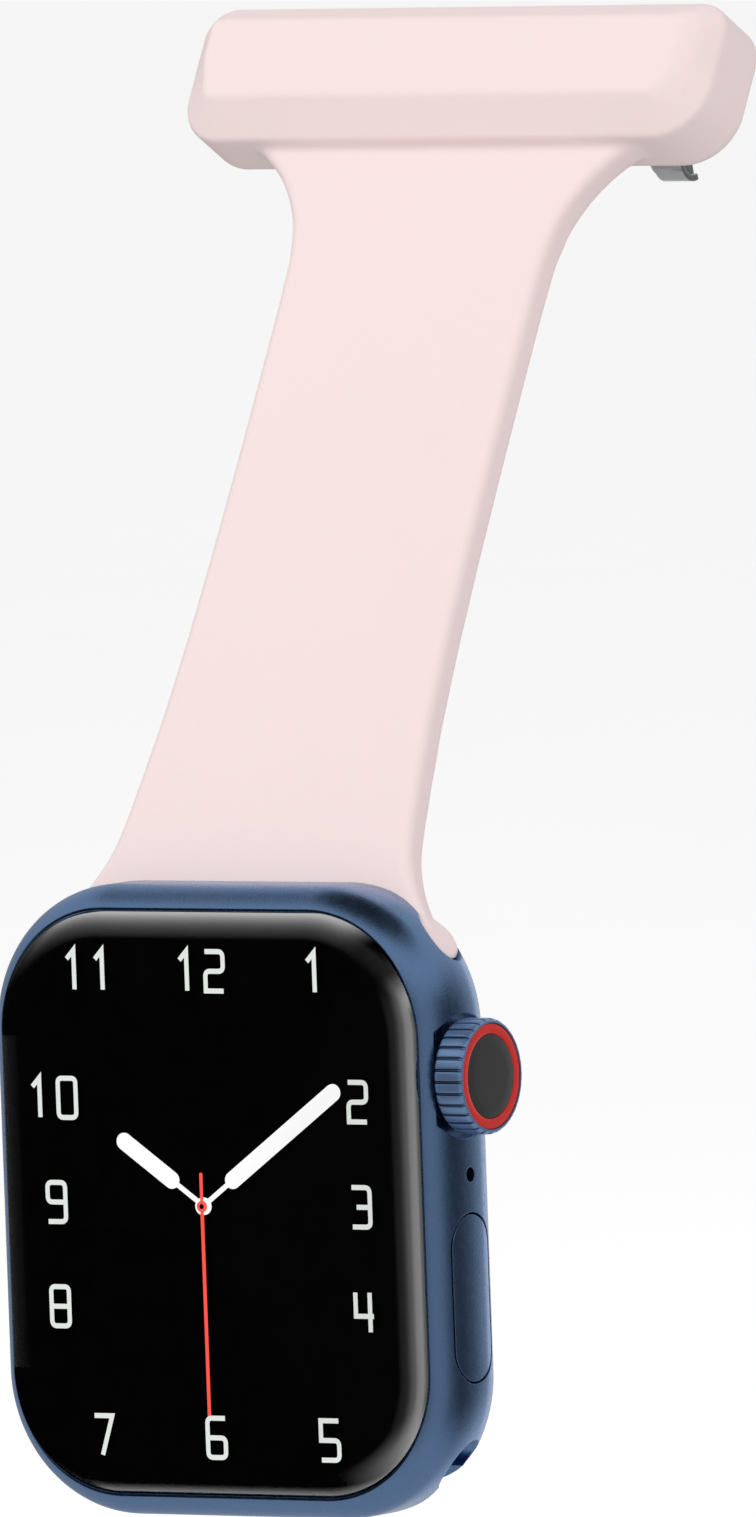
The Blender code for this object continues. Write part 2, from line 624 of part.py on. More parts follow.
housing = open_ring(
    "catch_housing", CATCH_X - 1.18, CATCH_X + 1.18, inner=1.38, outer=1.83, gap=40, n=20
)
join(
    housing,
    box(
        "tool", (CATCH_X - 1.12, 0.2, PIN_U - 0.8), (CATCH_X + 1.12, 0.85, PIN_U + 0.8),
        frame=bar_frame,
    ),
    box(
        "tool", (CATCH_X - 1.15, FOOT_W[0], PIN_U - 1.2),
        (CATCH_X + 2.2, FOOT_W[1], PIN_U + 1.6), frame=bar_frame,
    ),
)
lock = open_ring(
    "catch_lock", CATCH_X - 1.75, CATCH_X + 1.0, inner=0.62, outer=1.33, gap=46, n=18,
    pivot=(CATCH_X, *PIN),
)
tab_sin, tab_cos = math.sin(TAB_ANGLE), math.cos(TAB_ANGLE)
tab = TAB @ np.array([(tab_cos, tab_sin), (-tab_sin, tab_cos)]) + PIN
join(lock, prism("tool", X, tab, CATCH_X - 1.7, CATCH_X - 1.3, frame=bar_frame))
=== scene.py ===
"""Looks of a fob watch: a rounded watch case hangs on a silicone strap below a bar with a pin.

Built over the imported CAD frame. Lengths are millimetres until a mesh or a shader value is made.
Two local frames, as in the CAD source:
  case frame: x right, y back, z up, zero at the middle of the watch case
  bar frame:  x right, w out of the bar's back, u up along the strap,
              zero at the middle of the bar's back face
"""

import math

import bmesh
import bpy
import numpy as np
from mathutils import Matrix, Vector

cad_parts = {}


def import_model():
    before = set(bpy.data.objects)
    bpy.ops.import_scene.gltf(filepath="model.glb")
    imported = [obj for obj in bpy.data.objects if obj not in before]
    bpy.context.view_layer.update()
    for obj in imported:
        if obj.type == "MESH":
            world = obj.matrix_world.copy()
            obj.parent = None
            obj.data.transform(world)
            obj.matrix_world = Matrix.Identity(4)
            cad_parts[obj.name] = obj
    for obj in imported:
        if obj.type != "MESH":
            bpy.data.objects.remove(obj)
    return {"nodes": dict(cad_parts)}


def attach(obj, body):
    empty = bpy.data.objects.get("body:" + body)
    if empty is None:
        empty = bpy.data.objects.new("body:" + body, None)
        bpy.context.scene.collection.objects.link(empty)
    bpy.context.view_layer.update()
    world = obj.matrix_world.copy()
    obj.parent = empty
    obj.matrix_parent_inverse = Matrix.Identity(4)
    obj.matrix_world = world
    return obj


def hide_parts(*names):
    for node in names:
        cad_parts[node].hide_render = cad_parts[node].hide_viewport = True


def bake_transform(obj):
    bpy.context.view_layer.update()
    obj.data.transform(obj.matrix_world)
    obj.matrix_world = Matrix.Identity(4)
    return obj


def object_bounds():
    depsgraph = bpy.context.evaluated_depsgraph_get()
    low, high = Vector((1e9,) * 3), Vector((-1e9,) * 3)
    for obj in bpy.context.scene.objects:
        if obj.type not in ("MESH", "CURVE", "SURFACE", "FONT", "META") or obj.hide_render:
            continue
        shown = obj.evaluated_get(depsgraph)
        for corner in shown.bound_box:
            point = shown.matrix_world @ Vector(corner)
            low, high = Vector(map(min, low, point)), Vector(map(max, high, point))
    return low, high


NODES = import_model()["nodes"]
cad_lo, cad_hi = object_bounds()
scene = bpy.context.scene

# ---------------------------------------------------------------- dimensions, the same as the CAD
LEAN = math.radians(29.4)  # of the bar and strap from the upright
LEAN_SIN, LEAN_COS = math.sin(LEAN), math.cos(LEAN)
CASE_Y, CASE_Z = -37.3, -75.55
CASE = (19.0, 22.5, 10.3)  # half width, half height, corner radius
GLASS = (17.5, 20.66, 8.8)
BAR_HALF_X, BAR_HIGH, BAR_LOW, BAR_THICK = 22.3, 5.45, 5.28, 7.8
STRAP_THICK, STRAP_W = 2.5, -3.45
LUG_Z, LUG_RADIUS = 18.75, 1.68
SLOT_RADIUS, SLOT_MOUTH = 1.74, 2.72
LUG_U = (LUG_Z + CASE_Z + STRAP_W * LEAN_SIN) / LEAN_COS
LUG_Y = STRAP_W * LEAN_COS + LUG_U * LEAN_SIN - CASE_Y
CROWN_Y, CROWN_Z, CROWN_RADIUS = -0.33, 9.0, 4.12
CROWN_CENTRE = (CROWN_Y, CROWN_Z)
BUTTON_CENTRE = (-0.17, -6.76)  # y, z
BUTTON_HALF, BUTTON_RADIUS = 5.92, 2.3
RELEASE_Z = 15.1
HUB_X, HUB_Z = -0.6, -0.15
PIN_X, PIN_W, PIN_U, CATCH_X = -15.0, 2.4, -2.75, 15.37

X, Y, Z = 0, 1, 2  # axis numbers; in the bar frame Y is w and Z is u


def case_frame(points):
    return np.asarray(points, float) + np.array([0.0, CASE_Y, CASE_Z])


def bar_frame(points):
    points = np.asarray(points, float)
    x, w, u = points[..., 0], points[..., 1], points[..., 2]
    return np.stack([x, w * LEAN_COS + u * LEAN_SIN, -w * LEAN_SIN + u * LEAN_COS], axis=-1)


def hub_frame(points):
    """The case frame with zero on the axis of the hands."""
    return case_frame(points) + np.array([HUB_X, 0.0, HUB_Z])


# ---------------------------------------------------------------- flat outlines
def arc(centre_x, centre_z, radius, start, sweep, steps):
    angles = [math.radians(start + sweep * k / steps) for k in range(steps + 1)]
    return [(centre_x + radius * math.cos(a), centre_z + radius * math.sin(a)) for a in angles]


def rounded(shape, inset=0.0, steps=28):
    """Rounded rectangle of (half width, half height, corner radius), shrunk by the inset."""
    half_x, half_z, radius = (size - inset for size in shape)
    x, z = half_x - radius, half_z - radius
    starts = ((x, z, 0), (-x, z, 90), (-x, -z, 180), (x, -z, 270))
    return np.array([p for cx, cz, start in starts for p in arc(cx, cz, radius, start, 90, steps)])


def circle(radius, steps):
    angles = np.linspace(0, 2 * math.pi, steps, endpoint=False)
    return np.stack([radius * np.cos(angles), radius * np.sin(angles)], axis=-1)


def capsule(half, radius, steps):
    """Upright slot shape: straight sides with half-round ends, long in its second column."""
    top = arc(0.0, half - radius, radius, 0, 180, steps)
    return np.array(top + arc(0.0, radius - half, radius, 180, 180, steps))


def ease(value, start, end):
    """Smooth rise from 0 at start to 1 at end."""
    share = np.clip((value - start) / (end - start), 0, 1)
    return share * share * (3 - 2 * share)


def edge_distance(x, z, shape, inset=0.0):
    """Distance to a rounded rectangle, negative inside."""
    half_x, half_z, radius = (size - inset for size in shape)
    over_x, over_z = np.abs(x) - (half_x - radius), np.abs(z) - (half_z - radius)
    outside = np.hypot(np.maximum(over_x, 0), np.maximum(over_z, 0))
    return outside + np.minimum(np.maximum(over_x, over_z), 0) - radius


def edge_normal(x, z, shape):
    """Flat outward normal of a rounded rectangle, seen from any point."""
    half_x, half_z, radius = shape
    over_x, over_z = np.abs(x) - (half_x - radius), np.abs(z) - (half_z - radius)
    corner = (over_x > 0) & (over_z > 0)
    side = ~corner & (over_x > over_z)
    rest = ~corner & ~side
    normal = np.zeros((len(x), 2))
    normal[corner, 0] = over_x[corner] * np.sign(x[corner])
    normal[corner, 1] = over_z[corner] * np.sign(z[corner])
    normal[side, 0] = np.sign(x[side])
    normal[rest, 1] = np.sign(z[rest])
    return normal / np.maximum(np.linalg.norm(normal, axis=1), 1e-9)[:, None]


# ---------------------------------------------------------------- solids
def raw_mesh(name, points_mm, faces):
    mesh = bpy.data.meshes.new(name)
    vertices = (np.asarray(points_mm) / 1000).tolist()
    mesh.from_pydata(vertices, [], [list(map(int, face)) for face in faces])
    ob = bpy.data.objects.new(name, mesh)
    scene.collection.objects.link(ob)
    return ob


def make(name, shape, where=case_frame):
    """Object from (vertices, faces) given in a local frame, with its faces turned outwards."""
    verts, faces = shape
    ob = raw_mesh(name, where(verts), faces)
    bm = bmesh.new()
    bm.from_mesh(ob.data)
    bmesh.ops.recalc_face_normals(bm, faces=bm.faces)
    bm.to_mesh(ob.data)
    bm.free()
    return ob


def loft(sections, closed=False):
    """Skin over equal sections: capped at both ends, or closed into a ring."""
    count, total = len(sections[0]), len(sections)
    verts = np.concatenate([np.asarray(section, float) for section in sections])
    faces = []
    if not closed:
        faces = [list(range(count)), list(range(len(verts) - count, len(verts)))]
    for k in range(total if closed else total - 1):
        a, b = k * count, ((k + 1) % total) * count
        for i in range(count):
            j = (i + 1) % count
            faces.append([a + i, a + j, b + j, b + i])
    return verts, faces


def merge(shapes):
    """Several (vertices, faces) as one."""
    verts, faces = np.zeros((0, 3)), []
    for more_verts, more_faces in shapes:
        faces += [[i + len(verts) for i in face] for face in more_faces]
        verts = np.concatenate([verts, more_verts])
    return verts, faces


def along(axis, outline, place):
    """Stand a flat outline square to an axis; its columns fill the other two axes in order."""
    return np.insert(np.asarray(outline, float), axis, place, axis=1)


def prism_shape(axis, outline, start, end):
    return loft([along(axis, outline, start), along(axis, outline, end)])


def prism(name, axis, outline, start, end, where=case_frame):
    return make(name, prism_shape(axis, outline, start, end), where)


def tool(axis, outline, start, end, where=case_frame):
    """A prism that is used up in cut, join or common."""
    return prism("tool", axis, outline, start, end, where)


def lathe(name, axis, stations, steps, centre=(0, 0), where=case_frame, closed=False):
    """Turned solid. Stations: place along the axis, radius."""
    rings = [along(axis, circle(radius, steps) + centre, place) for place, radius in stations]
    return make(name, loft(rings, closed), where)


def apply_modifiers(ob):
    bpy.context.view_layer.update()
    deps = bpy.context.evaluated_depsgraph_get()
    mesh = bpy.data.meshes.new_from_object(ob.evaluated_get(deps), depsgraph=deps)
    ob.modifiers.clear()
    ob.data = mesh


def combine(target, tools, operation):
    for other in tools:
        boolean = target.modifiers.new("b", "BOOLEAN")
        boolean.operation, boolean.solver, boolean.object = operation, "EXACT", other
        apply_modifiers(target)
        bpy.data.objects.remove(other, do_unlink=True)


def cut(target, *tools):
    combine(target, tools, "DIFFERENCE")


def join(target, *tools):
    combine(target, tools, "UNION")


def common(target, *tools):
    combine(target, tools, "INTERSECT")


def smooth(ob, angle=30):
    ob.data.shade_smooth()
    ob.data.set_sharp_from_angle(angle=math.radians(angle))
    return ob


def soft_edges(ob, width_mm, segments=3):
    """Round the sharp edges, then shade smooth except where it is still sharp."""
    bevel = ob.modifiers.new("edge", "BEVEL")
    bevel.width, bevel.segments = width_mm / 1000, segments
    bevel.limit_method, bevel.angle_limit = "ANGLE", math.radians(28)
    bevel.use_clamp_overlap = True
    apply_modifiers(ob)
    return smooth(ob, angle=40)


def read_values(items, field, width=1, kind=np.float32):
    values = np.zeros(len(items) * width, kind)
    items.foreach_get(field, values)
    return values.reshape(-1, width) if width > 1 else values


def guided_normals(ob, ideal, tolerance_deg, within_mm=0.02):
    """Corner normals follow the ideal surface wherever a face lies on it.

    ideal(points) gives (distance, normal).
    """
    mesh = ob.data
    normals = np.zeros(len(mesh.loops) * 3, np.float32)
    mesh.corner_normals.foreach_get("vector", normals)
    normals = normals.reshape(-1, 3)
    index = read_values(mesh.loops, "vertex_index", kind=np.int32)
    points = read_values(mesh.vertices, "co", width=3)[index].astype(float) * 1000
    totals = read_values(mesh.polygons, "loop_total", kind=np.int32)
    face_normals = np.repeat(read_values(mesh.polygons, "normal", width=3), totals, axis=0)
    distance, normal = ideal(points)
    aligned = (face_normals * normal).sum(1) > math.cos(math.radians(tolerance_deg))
    on_surface = (np.abs(distance) < within_mm) & aligned
    normals[on_surface] = normal[on_surface]
    mesh.normals_split_custom_set(normals.tolist())


# ---------------------------------------------------------------- shader kit
class Tree:
    """Nodes of a material or world, written as calls that give one output:
    tree("Kind", {input: value or socket}, out=output, setting=value)."""

    def __init__(self, owner):
        self.owner = owner
        owner.use_nodes = True
        self.nodes, self.links = owner.node_tree.nodes, owner.node_tree.links
        self.nodes.clear()

    def node(self, kind, inputs=None, **settings):
        node = self.nodes.new("ShaderNode" + kind)
        for name, value in settings.items():
            setattr(node, name, value)
        for key, value in (inputs or {}).items():
            socket = node.inputs[key]
            if isinstance(value, bpy.types.NodeSocket):
                self.links.new(value, socket)
            elif isinstance(value, tuple) and len(value) == 3 and socket.type == "RGBA":
                socket.default_value = (*value, 1)
            else:
                socket.default_value = value
        return node

    def __call__(self, kind, inputs=None, out=0, **settings):
        return self.node(kind, inputs, **settings).outputs[out]

    def place(self, scale=1.0):
        """Object coordinates, in metres times the scale."""
        metres = self("TexCoord", out="Object")
        if scale == 1.0:
            return metres
        return self("VectorMath", {0: metres, "Scale": scale}, operation="SCALE")

    def noise(self, size_mm, detail=2.0, rough=0.5):
        return self("TexNoise", {
            "Vector": self.place(), "Scale": 1000.0 / size_mm, "Detail": detail, "Roughness": rough,
        })

    def remap(self, value, to, span=(0.3, 0.7), **settings):
        """Carry a span of values to another; the usual span is where noise mostly lies."""
        return self("MapRange", {
            "Value": value, "From Min": span[0], "From Max": span[1],
            "To Min": to[0], "To Max": to[1],
        }, **settings)

    def band(self, value, span, to=(0.0, 1.0)):
        return self.remap(value, to, span, interpolation_type="SMOOTHSTEP")

    def math(self, operation, a, b=0.0, c=0.0, clamp=False):
        return self("Math", {0: a, 1: b, 2: c}, operation=operation, use_clamp=clamp)

    def mix(self, factor, first, second):
        """Blend two colours."""
        return self("Mix", {0: factor, 6: first, 7: second}, out=2, data_type="RGBA")

    def mix_floats(self, factor, first, second):
        return self("Mix", {0: factor, 2: first, 3: second}, data_type="FLOAT")

    def bevel(self, radius_mm, samples=4):
        return self("Bevel", {"Radius": radius_mm / 1000}, samples=samples)

    def bump(self, height, depth_mm, normal=None):
        inputs = {"Height": height, "Distance": depth_mm / 1000, "Strength": 1.0}
        if normal is not None:
            inputs["Normal"] = normal
        return self("Bump", inputs)

    def surface(self, shader):
        self.node("OutputMaterial", {"Surface": shader})
        return self.owner


def material_tree(name):
    return Tree(bpy.data.materials.new(name))


def shades(base, spread):
    """A darker and a lighter shade of a colour."""
    return tuple(c * (1 - spread) for c in base), tuple(c * (1 + spread) for c in base)


# ---------------------------------------------------------------- materials
def finish(name, base, rough, metal=0.0, grain=None, edge=None, vary=0.06, vary_mm=3.0,
           rough_vary=0.05, coat=None):
    """A finish with drifting colour and roughness, and optionally a grain, soft edges, a coat."""
    tree = material_tree(name)
    colour = tree.mix(tree.noise(size_mm=vary_mm, detail=3.0), *shades(base, vary))
    patches = tree.noise(size_mm=vary_mm * 0.37)
    roughness = tree.remap(patches, to=(max(0.0, rough - rough_vary), rough + rough_vary))
    normal = tree.bevel(edge) if edge else None
    if grain:
        size_mm, depth_mm = grain
        normal = tree.bump(tree.noise(size_mm, detail=3.0, rough=0.6), depth_mm, normal)
    inputs = {"Base Color": colour, "Roughness": roughness, "Metallic": metal}
    if normal is not None:
        inputs["Normal"] = normal
    if coat:
        inputs["Coat Weight"], inputs["Coat Roughness"] = coat
    return tree.surface(tree("BsdfPrincipled", inputs))


def silicone():
    tree = material_tree("silicone_pink")
    drift = tree.noise(size_mm=9.0, detail=3.0)
    colour = tree.mix(drift, first=(0.93, 0.768, 0.762), second=(0.95, 0.788, 0.782))
    mottle = tree.noise(size_mm=0.55)
    fine = tree.math("MULTIPLY", tree.noise(size_mm=0.11), 0.6)
    height = tree.math("ADD", fine, tree.math("MULTIPLY", mottle, 0.5))
    normal = tree.bump(height, depth_mm=0.010)
    roughness = tree.remap(mottle, to=(0.55, 0.66))
    return tree.surface(tree("BsdfPrincipled", {
        "Base Color": colour, "Roughness": roughness, "Normal": normal,
        "Specular IOR Level": 0.35, "Subsurface Weight": 0.1,
        "Subsurface Radius": (1.0, 0.45, 0.4), "Subsurface Scale": 0.0009,
    }))


def darken_grooves(tree, colour):
    """Painted shade: darken the groove floors of the crown's knurl, short of its outer face."""
    x, y, z = tree.node("SeparateXYZ", {0: tree.place(scale=1000.0)}).outputs
    y = tree.math("SUBTRACT", y, CASE_Y + CROWN_Y)
    z = tree.math("SUBTRACT", z, CASE_Z + CROWN_Z)
    squares = tree.math("ADD", tree.math("MULTIPLY", y, y), tree.math("MULTIPLY", z, z))
    radius = tree.math("SQRT", squares)
    floor = tree.remap(radius, span=(CROWN_RADIUS - 0.16, CROWN_RADIUS - 0.05), to=(1.0, 0.0))
    side = tree.remap(x, span=(20.92, 21.0), to=(1.0, 0.0))
    amount = tree.math("MULTIPLY", tree.math("MULTIPLY", floor, side), 0.85)
    # painted shade: a dark blue laid into the groove floors
    return tree.mix(amount, colour, (0.015, 0.028, 0.07))


def aluminium(name, base, rough, edge, metal, painted_groove_shade=False):
    """Blasted and anodised: a fine even grain under a coloured skin."""
    tree = material_tree(name)
    grain = tree.noise(size_mm=0.16, detail=3.0, rough=0.65)
    coarse = tree.noise(size_mm=0.7)
    fine_part, coarse_part = tree.math("MULTIPLY", grain, 0.6), tree.math("MULTIPLY", coarse, 0.4)
    colour = tree.mix(tree.math("ADD", fine_part, coarse_part), *shades(base, 0.14))
    normal = tree.bump(grain, depth_mm=0.012, normal=tree.bevel(edge, samples=6))
    roughness = tree.remap(coarse, to=(rough - 0.03, rough + 0.03))
    # optional painted shade in the crown's groove floors
    if painted_groove_shade:
        colour = darken_grooves(tree, colour)
    return tree.surface(tree("BsdfPrincipled", {
        "Base Color": colour, "Metallic": metal, "Roughness": roughness, "Normal": normal,
    }))


def steel():
    """Drawn steel: fine lines along x with a soft scatter of marks."""
    tree = material_tree("stainless_steel")
    drawn = tree("Mapping", {"Vector": tree.place(), "Scale": (1.0, 14.0, 14.0)})
    lines = tree("TexNoise", {"Vector": drawn, "Scale": 900.0, "Detail": 3.0})
    spots = tree.noise(size_mm=0.5, detail=3.0)
    colour = tree.mix(spots, *shades((0.56, 0.57, 0.58), 0.1))
    normal = tree.bump(lines, depth_mm=0.003, normal=tree.bevel(radius_mm=0.06))
    roughness = tree.remap(lines, to=(0.18, 0.32))
    return tree.surface(tree("BsdfPrincipled", {
        "Base Color": colour, "Metallic": 1.0, "Roughness": roughness, "Normal": normal,
        "Anisotropic": 0.3,
    }))


def crystal_clear():
    """The clear outer skin of the cover glass: it mirrors the studio and lets the display through.

    Part real, part painted reflection: the reflection's strength is painted by which way the rim
    faces in the watch's own frame, strongest to the right, weak up and left.
    """
    tree = material_tree("black_glass")
    calc, band = tree.math, tree.band
    smear = tree.remap(tree.noise(size_mm=11.0), span=(0.35, 0.65), to=(0.035, 0.07))
    normal = tree.bump(tree.noise(size_mm=5.0, detail=1.0), depth_mm=0.0006)
    fresnel = tree("Fresnel", {"IOR": 1.62, "Normal": normal})
    front = calc("SUBTRACT", 1.0, tree("NewGeometry", out="Backfacing"))
    own = tree(
        "VectorTransform", {0: tree("NewGeometry", out="Normal")},
        vector_type="NORMAL", convert_from="WORLD", convert_to="OBJECT",
    )
    facing_x, _, facing_z = tree.node("SeparateXYZ", {0: own}).outputs

    # how far the surface faces up, down, right and left, each 0 to 1
    over = calc("MAXIMUM", facing_z, 0.0)
    under = calc("MAXIMUM", calc("MULTIPLY", facing_z, -1.0), 0.0)
    right = calc("MAXIMUM", facing_x, 0.0)
    left = calc("MAXIMUM", calc("MULTIPLY", facing_x, -1.0), 0.0)
    # up and down as shares of their sum with right
    lifted = calc("DIVIDE", over, calc("MAXIMUM", calc("ADD", over, right), 0.001))
    lowered = calc("DIVIDE", under, calc("MAXIMUM", calc("ADD", under, right), 0.001))

    # painted reflection strength: a base and a gain to the right, then faded by direction
    gain, base = 11.0, 3.4
    painted_mirror_strength = calc("ADD", calc("MULTIPLY", calc("MULTIPLY", right, right), gain), base)
    painted_mirror_strength = calc("MULTIPLY", painted_mirror_strength, band(lifted, span=(0.21, 0.41), to=(1.0, 0.06)))
    low_right = band(lowered, span=(0.35, 0.85), to=(1.0, 0.0))
    straight_down = band(under, span=(0.47, 0.76), to=(0.0, 0.72))
    painted_mirror_strength = calc("MULTIPLY", painted_mirror_strength, calc("MAXIMUM", low_right, straight_down))
    painted_mirror_strength = calc("MULTIPLY", painted_mirror_strength, band(left, span=(0.03, 0.22), to=(1.0, 0.05)))
    tilt = calc("ADD", calc("ADD", over, under), calc("ADD", left, right))
    painted_mirror_strength = calc("MULTIPLY", painted_mirror_strength, band(tilt, span=(0.02, 0.2), to=(0.3, 1.0)))
    amount = calc("MULTIPLY", calc("MULTIPLY", fresnel, painted_mirror_strength, clamp=True), front)
    glossy = tree("BsdfAnisotropic", {
        "Color": (1.0, 1.0, 0.995), "Roughness": smear, "Normal": normal,
    })
    clear = tree("BsdfTransparent", {"Color": (1.0, 1.0, 1.0)})
    skin_shader = tree("MixShader", {0: amount, 1: clear, 2: glossy})

    # painted highlight: an emission glow on the upper rim, standing in for the reflection of an
    # overhead soft light
    start, slope, power, strength = 0.2, 2.0, 1.8, 0.25
    rise = calc("MAXIMUM", calc("MULTIPLY", calc("SUBTRACT", over, start), slope), 0.0)
    level = calc("MULTIPLY", calc("POWER", rise, power), strength)
    level = calc("MULTIPLY", level, band(lifted, span=(0.544, 0.735)))
    level = calc("MULTIPLY", level, front)
    level = calc("MULTIPLY", level, band(left, span=(0.25, 0.5), to=(1.0, 0.25)))
    painted_rim_glow = tree("Emission", {"Color": (1.0, 1.0, 0.99), "Strength": level})
    return tree.surface(tree("AddShader", {0: skin_shader, 1: painted_rim_glow}))


def ink(name):
    """Matt black without any shine."""
    tree = material_tree(name)
    tone = tree.mix(
        tree.noise(size_mm=2.0), first=(0.0006, 0.0006, 0.0007), second=(0.0016, 0.0016, 0.0018),
    )
    return tree.surface(tree("BsdfPrincipled", {
        "Base Color": tone, "Roughness": tree.remap(tree.noise(size_mm=1.0), to=(0.85, 1.0)),
        "Specular IOR Level": 0.0,
    }))


def glow(name, colour, strength=1.0):
    """Lit display content: almost even light that only the camera sees."""
    tree = material_tree(name)
    tone = tree.mix(tree.noise(size_mm=1.4), *shades(colour, 0.015))
    camera_ray = tree("LightPath", out="Is Camera Ray")
    level = tree.math("MULTIPLY", camera_ray, strength)
    return tree.surface(tree("Emission", {"Color": tone, "Strength": level}))


def board_finish():
    """Green board with copper-coloured lines and pale square pads."""
    tree = material_tree("circuit_board")
    place = tree.place()
    cells = tree(
        "TexVoronoi", {"Vector": place, "Scale": 900.0, "Randomness": 0.6}, distance="CHEBYCHEV",
    )
    tracks = tree("TexBrick", {
        "Vector": place, "Scale": 700.0, "Mortar Size": 0.03, "Color1": (0.012, 0.085, 0.045),
        "Color2": (0.016, 0.11, 0.06), "Mortar": (0.45, 0.25, 0.10),
    })
    pads = tree.math("LESS_THAN", cells, 0.12)
    colour = tree.mix(pads, first=tracks, second=(0.55, 0.47, 0.28))
    return tree.surface(tree("BsdfPrincipled", {
        "Base Color": colour, "Roughness": 0.42, "Coat Weight": 0.5,
        "Normal": tree.bump(cells, depth_mm=0.02),
    }))


def copper_finish():
    """Copper wound in rings round the middle of the case, with painted shade between the turns and
    painted light on their crests.
    """
    wire_pitch = 0.00032  # metres
    tree = material_tree("copper")
    origin = (0.0, CASE_Y / 1000, CASE_Z / 1000)
    centred = tree("VectorMath", {0: tree.place(), 1: origin}, operation="SUBTRACT")
    flat = tree("VectorMath", {0: centred, 1: (1.0, 0.0, 1.0)}, operation="MULTIPLY")
    radius = tree("VectorMath", {0: flat}, out="Value", operation="LENGTH")
    turns = tree.math("SINE", tree.math("MULTIPLY", radius, 2 * math.pi / wire_pitch))
    painted_crest_shading = tree.remap(turns, span=(-1.0, 1.0), to=(0.0, 1.0))
    # painted shade in the troughs between turns, painted light on the crests
    colour = tree.mix(painted_crest_shading, first=(0.32, 0.11, 0.045), second=(0.86, 0.42, 0.22))
    return tree.surface(tree("BsdfPrincipled", {
        "Base Color": colour, "Metallic": 1.0, "Roughness": 0.3,
        "Normal": tree.bump(turns, depth_mm=0.05),
    }))


# grain: size and depth in mm; edge: rounding in mm; vary: share the colour drifts by, over
# patches of vary_mm; coat: weight and roughness
FINISHES = {
    "black_rubber": dict(base=(0.018, 0.018, 0.018), rough=0.75, grain=(0.2, 0.02)),
    "dark_grey_polymer": dict(base=(0.05, 0.05, 0.055), rough=0.5, grain=(0.15, 0.01), edge=0.08),
    "battery_foil": dict(
        base=(0.42, 0.43, 0.45), rough=0.34, metal=0.9, grain=(0.9, 0.03), edge=0.12),
    "back_ceramic": dict(
        base=(0.012, 0.014, 0.02), rough=0.1, edge=0.08, rough_vary=0.02, coat=(0.6, 0.03)),
    "lens_glass": dict(base=(0.006, 0.006, 0.008), rough=0.05, rough_vary=0.01, coat=(1.0, 0.02)),
    "magnet_nickel": dict(
        base=(0.62, 0.59, 0.53), rough=0.22, metal=1.0, grain=(0.3, 0.004), edge=0.1),
    "red_enamel": dict(
        base=(0.66, 0.024, 0.018), rough=0.3, grain=(0.35, 0.004), edge=0.06, vary=0.04,
        rough_vary=0.03),
    "crown_cap_grey": dict(
        base=(0.036, 0.036, 0.037), rough=0.42, grain=(0.2, 0.003), edge=0.05, vary=0.03,
        vary_mm=2.0),
    "sensor_eye": dict(
        base=(0.05, 0.012, 0.012), rough=0.18, grain=(0.25, 0.004), vary=0.3, vary_mm=0.6),
    "electrode": dict(base=(0.30, 0.31, 0.33), rough=0.24, metal=1.0, grain=(0.2, 0.003)),
}
MATERIALS = {
    "silicone_pink": silicone(),
    "anodised_aluminium": aluminium(
        "anodised_aluminium", base=(0.17, 0.29, 0.52), rough=0.27, edge=0.09, metal=1.0),
    # the crown's finish carries painted shade in its groove floors
    "crown_aluminium": aluminium(
        "crown_aluminium", base=(0.20, 0.33, 0.58), rough=0.32, edge=0.03, metal=0.66,
        painted_groove_shade=True),
    "stainless_steel": steel(),
    "black_glass": crystal_clear(),
    "display": ink("display_black"),
    "hub_black": ink("hub_black"),
    "circuit_board": board_finish(),
    "copper": copper_finish(),
    "hand_white": glow("hand_white", colour=(1.0, 1.0, 1.0)),
    "numeral_white": glow("numeral_white", colour=(0.76, 0.80, 0.77)),
    "hand_red": glow("hand_red", colour=(0.92, 0.085, 0.062), strength=1.2),
    **{name: finish(name, **values) for name, values in FINISHES.items()},
}


def dress(ob, key, slot=None):
    ob.data.materials.clear()
    ob.data.materials.append(MATERIALS[key])
    slot or key


def piece(ob, key, body, *replaced, slot=None):
    """Give an object its material, the body it moves with and the CAD nodes it stands for."""
    dress(ob, key, slot)
    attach(ob, body)
    if replaced:
        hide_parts(*replaced)


# ---------------------------------------------------------------- silicone: one distance field
BAR_BEVEL_DEPTH = 5.63  # depth at which the front bevel meets the bar's side
BAR_STEEP_HIGH, BAR_STEEP_LOW = 1.73 / 1.9, 2.36 / 1.9  # slope of that bevel above and below
BAR_BACK_BEVEL = 0.8
STRAP_TOP_U, STRAP_EDGE = -2.3, 0.85
WIDTH_STEP, WIDTH_BLUR = 0.05, 0.5
# strap from the bar down to the lug: u, half width
STRAP_WIDTHS = np.array([
    (-2.3, 16.5), (-5.0, 16.5), (-5.6, 15.8), (-6.4, 14.65), (-7.8, 13.35), (-9.4, 12.3),
    (-11.3, 11.45), (-14.0, 10.95), (-17.8, 10.85), (-24.0, 10.85), (-31.0, 10.88),
    (-38.0, 10.98), (-44.0, 11.12), (-50.5, 11.45), (LUG_U + 11.2, 11.95), (LUG_U + 8.0, 12.3),
    (LUG_U + 6.2, 12.6), (LUG_U + 4.9, 13.05), (LUG_U + 3.7, 13.6), (LUG_U + 2.6, 14.25),
    (LUG_U + 1.6, 14.95), (LUG_U + 0.6, 15.7), (LUG_U - 0.1, 16.2),
])
# box of the surface net in the bar frame
NET_LOW, NET_HIGH = (-22.95, -8.25, LUG_U - 2.4), (22.95, 0.45, 6.1)
NET_STEP, NET_STEP_QUICK = 0.3, 0.45


